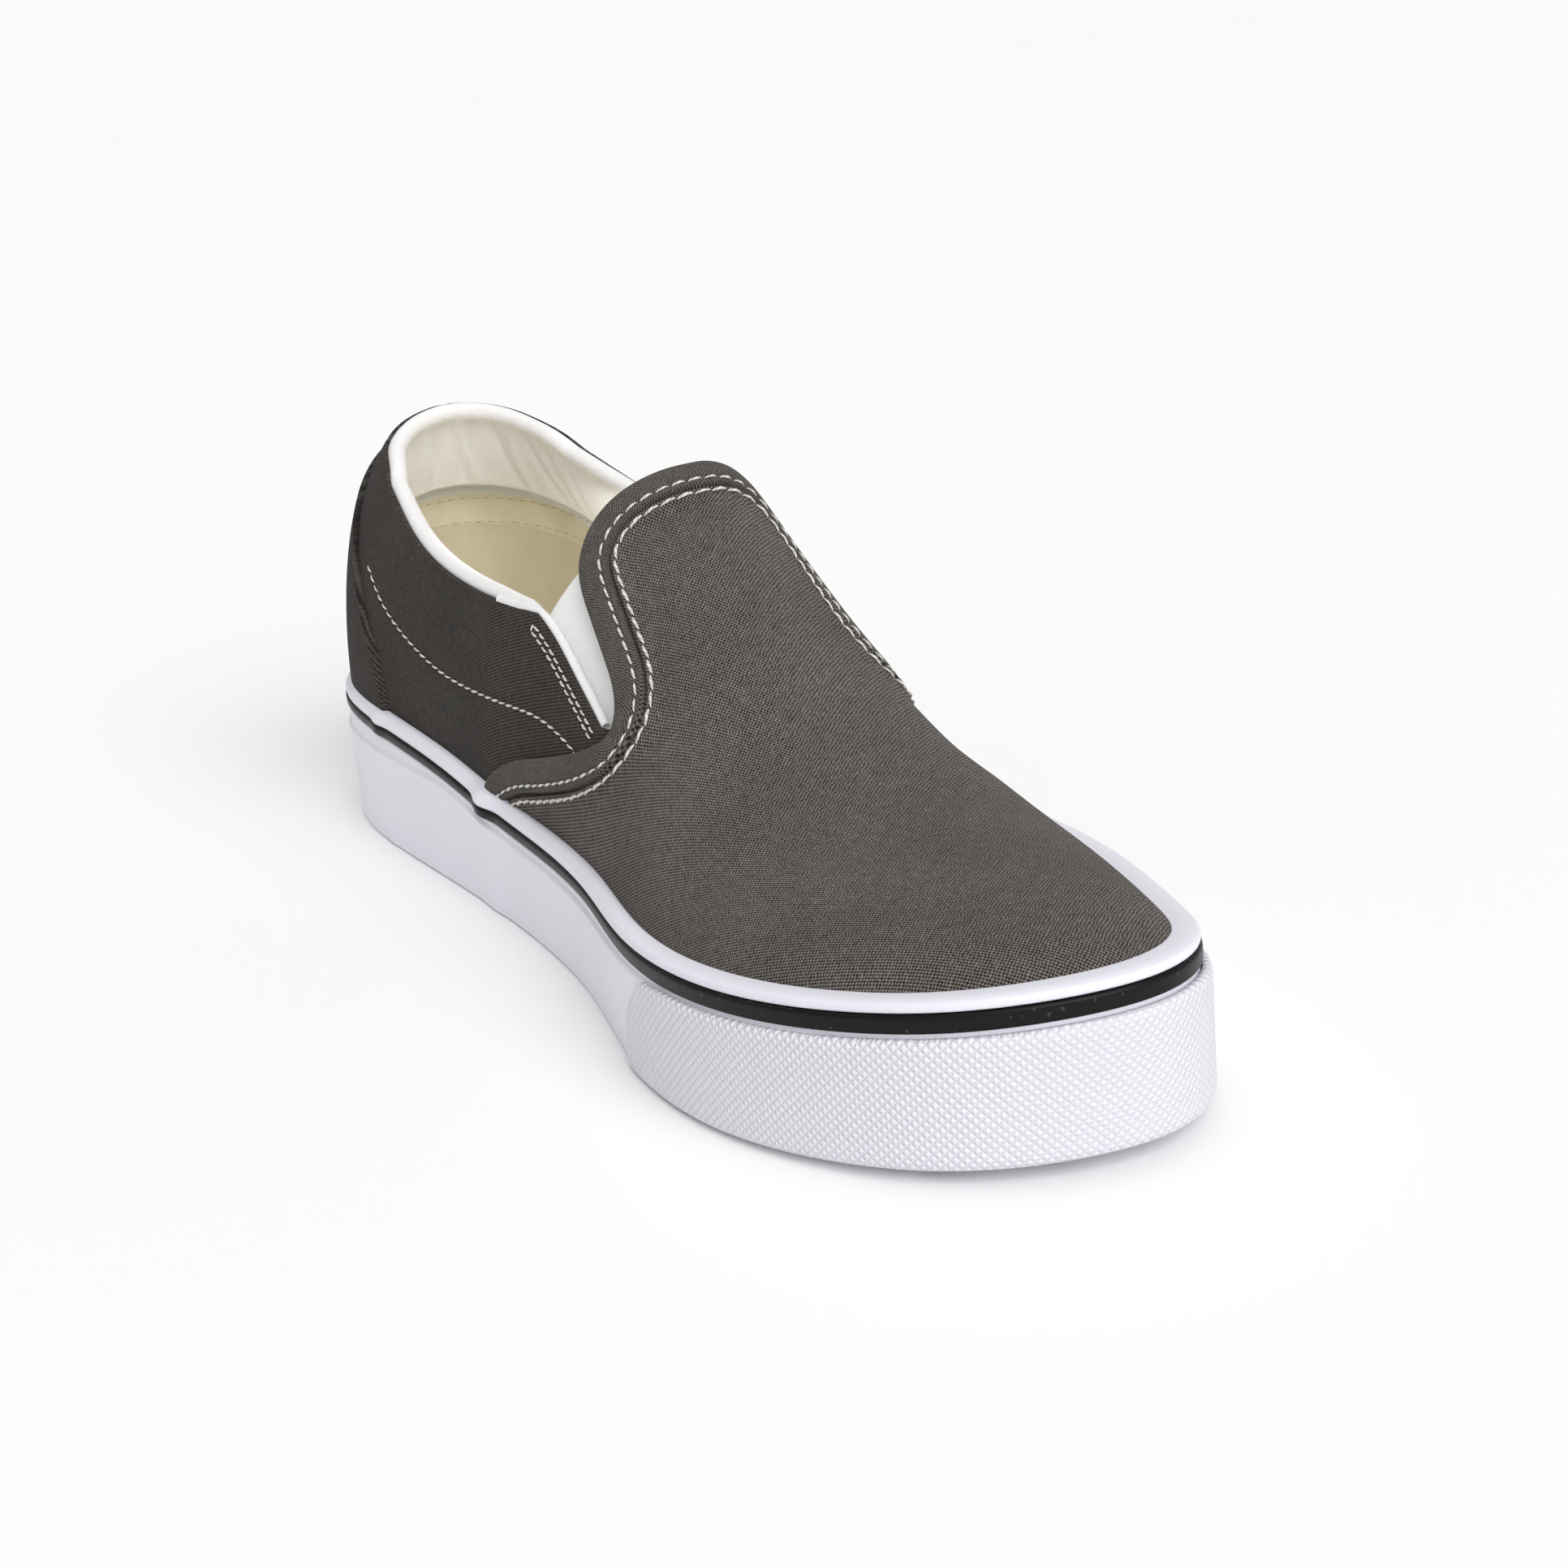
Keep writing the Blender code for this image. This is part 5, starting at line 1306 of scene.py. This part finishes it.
def build_thread(name, dark, light):
    """Twisted cotton thread: plies wound 0.8 mm apart along each stitch."""
    made, tree, shader, place = start_material(name, Roughness=0.8, Sheen_Weight=0.2, Specular_IOR_Level=0.25)
    twist = thread_wave(tree, place, 0.8, "DIAGONAL", 0.2)
    # the grooves between the plies are painted darker than their crowns: painted shade, with painted highlight on the
    # crowns
    tree.links.new(mixed(tree, twist, srgb(dark), srgb(light)), shader.inputs["Base Color"])
    bump = add(tree, "ShaderNodeBump", {"Height": twist, "Strength": 0.5, "Distance": 0.08 * MM})
    tree.links.new(bump.outputs["Normal"], shader.inputs["Normal"])
    return made


lining, elastic = build_lining(), build_elastic()
white_thread = build_thread("cotton_thread_white", "#b9b6b0", "#ebe8e2")
sand_thread = build_thread("cotton_thread_sand", "#a89a70", "#cfc298")
grey_thread = build_thread("cotton_thread_grey", "#9c9b99", "#c4c3c1")
# Cotton drill over thin sponge: the sock lining
sock = cotton("cotton_drill_sock", "#c2b89a", "#dfd7bd", 0.55, 0.0, 0.10, slub=0.3, sheen=0.15)[0]


# ---- The shoe ----
build_upper()
build_hem()
build_stay()
build_collar()
build_edging()
build_gore(-1, "elastic_gore_outer", "gore_lateral")
build_gore(1, "elastic_gore_inner", "gore_medial")
build_foxing()
build_stripe()
build_strip()
build_bumper()
build_outsole()
build_insole()
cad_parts["midsole"].data.materials.clear()
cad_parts["midsole"].data.materials.append(foam)


def seam_threads():
    """White stitches on hem, vamp, quarter and gore cut, each row on its own pattern line."""
    line = hem_line(300)
    parts = stitches(spread(hem_row(line, BAND_STITCH), 600), 1.42 * MM, 3.6 * MM, 3.0 * MM, 0.30 * MM, 0.25 * MM)
    parts += stitches(spread(hem_row(line, VAMP_STITCH), 600), 0.92 * MM, 3.8 * MM, 3.6 * MM, 0.36 * MM, 0.45 * MM)
    for side in (-1, 1):
        quarter = spread(table_line(QUARTER_SEAM, side, 120), 160)
        parts += stitches(quarter, -0.12 * MM, 3.3 * MM, 3.0 * MM, 0.27 * MM, 0.35 * MM)
        cut = spread(table_line(QUARTER_EDGE, side, 60), 120)
        near, far = (spread(shift_line(cut, side * away)[2:], 100) for away in CUT_STITCHES)
        bar = spread(np.stack([near[0], far[0]]), 12)
        for row in (near, far, bar):
            parts += stitches(row, 0.22 * MM, min(2.7 * MM, 0.99 * run_of(last_point(row))[-1]), 2.2 * MM, 0.28 * MM,
                              0.2 * MM)
    return piece("seam_stitches", parts, [white_thread])


def inside_threads():
    """The dashes under the lining and the two rows on the sand-coloured drill inside the heel."""
    made = []
    edge = collar_edge(90)[12:-12]
    solid = last_point(edge)
    for name, drop, off, thread, radius in (
        ("lining_stitches", 20.2, -UPPER_WALL - 0.25 * MM, grey_thread, 0.22),
        ("counter_stitches_upper", 25.2, -UPPER_WALL - 0.05 * MM, sand_thread, 0.2),
        ("counter_stitches_lower", 31.6, -UPPER_WALL - 0.05 * MM, sand_thread, 0.2),
    ):
        row = drop_rows(edge, drop * MM, [1.0])[:, 0]
        row = row[last_point(row)[:, 2] > side_rise(solid[:, 0]) + INSOLE_THICKNESS + 2 * MM]
        made.append(piece(name, stitches(spread(row, 200), off, 3.0 * MM, 2.2 * MM, radius * MM), [thread]))
    return made


seam_threads()
inside_threads()

# ---- Camera, floor and light ----
# Angles as in the photograph: 26.6 degrees from the toe towards the outer side, 18.6 above the floor
AZIMUTH, ELEVATION, ROLL = math.radians(26.6), math.radians(18.6), math.radians(-5.5)
DISTANCE = 446 * MM
TARGET = Vector((175.9 * MM, 3.2 * MM, 34.0 * MM)) + Vector(SHIFT)
back = Vector((math.cos(ELEVATION) * math.cos(AZIMUTH), -math.cos(ELEVATION) * math.sin(AZIMUTH), math.sin(ELEVATION)))
right = (-back).cross(Vector((0, 0, 1))).normalized()
up = right.cross(-back)
right, up = right * math.cos(ROLL) + up * math.sin(ROLL), up * math.cos(ROLL) - right * math.sin(ROLL)
camera = bpy.data.objects.new("camera", bpy.data.cameras.new("camera"))
camera.data.lens = 53.16
camera.data.sensor_width = 36.0
camera.data.clip_start = 0.01
camera.matrix_world = Matrix((
    (right.x, up.x, back.x, TARGET.x + back.x * DISTANCE),
    (right.y, up.y, back.y, TARGET.y + back.y * DISTANCE),
    (right.z, up.z, back.z, TARGET.z + back.z * DISTANCE),
    (0, 0, 0, 1),
))
bpy.context.scene.collection.objects.link(camera)
bpy.context.scene.camera = camera

floor_mesh = bpy.data.meshes.new("floor")
SPAN = 6.0
floor_mesh.from_pydata([(-SPAN, -SPAN, 0), (SPAN, -SPAN, 0), (SPAN, SPAN, 0), (-SPAN, SPAN, 0)], [], [(0, 1, 2, 3)])
floor = bpy.data.objects.new("floor", floor_mesh)
bpy.context.scene.collection.objects.link(floor)
# Matt white paper
paper = bpy.data.materials.new("seamless_paper_white")
paper.use_nodes = True
paper.node_tree.nodes["Principled BSDF"].inputs["Base Color"].default_value = srgb("#fefefe")
paper.node_tree.nodes["Principled BSDF"].inputs["Roughness"].default_value = 0.9
floor_mesh.materials.append(paper)

SKY_LIGHT = 0.42
SKY_SEEN = 0.96  # as bright as the far floor, so that no horizon shows
world = bpy.data.worlds.new("studio")
bpy.context.scene.world = world
world.use_nodes = True
sky = world.node_tree
# The sky lights the shoe at less than the white that the camera sees behind it
seen = add(sky, "ShaderNodeLightPath").outputs["Is Camera Ray"]
level = add(sky, "ShaderNodeMapRange", {"Value": seen, "To Min": SKY_LIGHT, "To Max": SKY_SEEN}).outputs["Result"]
sky.nodes["Background"].inputs["Color"].default_value = (1.0, 1.0, 1.0, 1.0)
sky.links.new(level, sky.nodes["Background"].inputs["Strength"])


def lamp(name, towards, strength, softness):
    """A distant light that shines from a direction, its edge as soft as a disc of so many degrees."""
    data = bpy.data.lights.new(name, "SUN")
    data.energy, data.angle = strength, math.radians(softness)
    made = bpy.data.objects.new(name, data)
    made.location = Vector(towards)
    made.rotation_mode = "QUATERNION"
    made.rotation_quaternion = (-Vector(towards)).to_track_quat("-Z", "Y")
    bpy.context.scene.collection.objects.link(made)
    return made


lamp("key_light", (1.15, 0.0, 0.9), 2.05, 50)
lamp("top_light", (-0.25, 0.05, 1.0), 0.55, 60)
# A small card of light inside the opening, out of the camera's sight
fill = bpy.data.objects.new("opening_fill", bpy.data.lights.new("opening_fill", "AREA"))
fill.data.energy, fill.data.size = 0.020, 0.03
fill.location = (-0.068, 0.0, 0.074)
fill.visible_camera = False
bpy.context.scene.collection.objects.link(fill)
bpy.context.scene.view_settings.view_transform = "Standard"
bpy.context.scene.view_settings.look = "None"
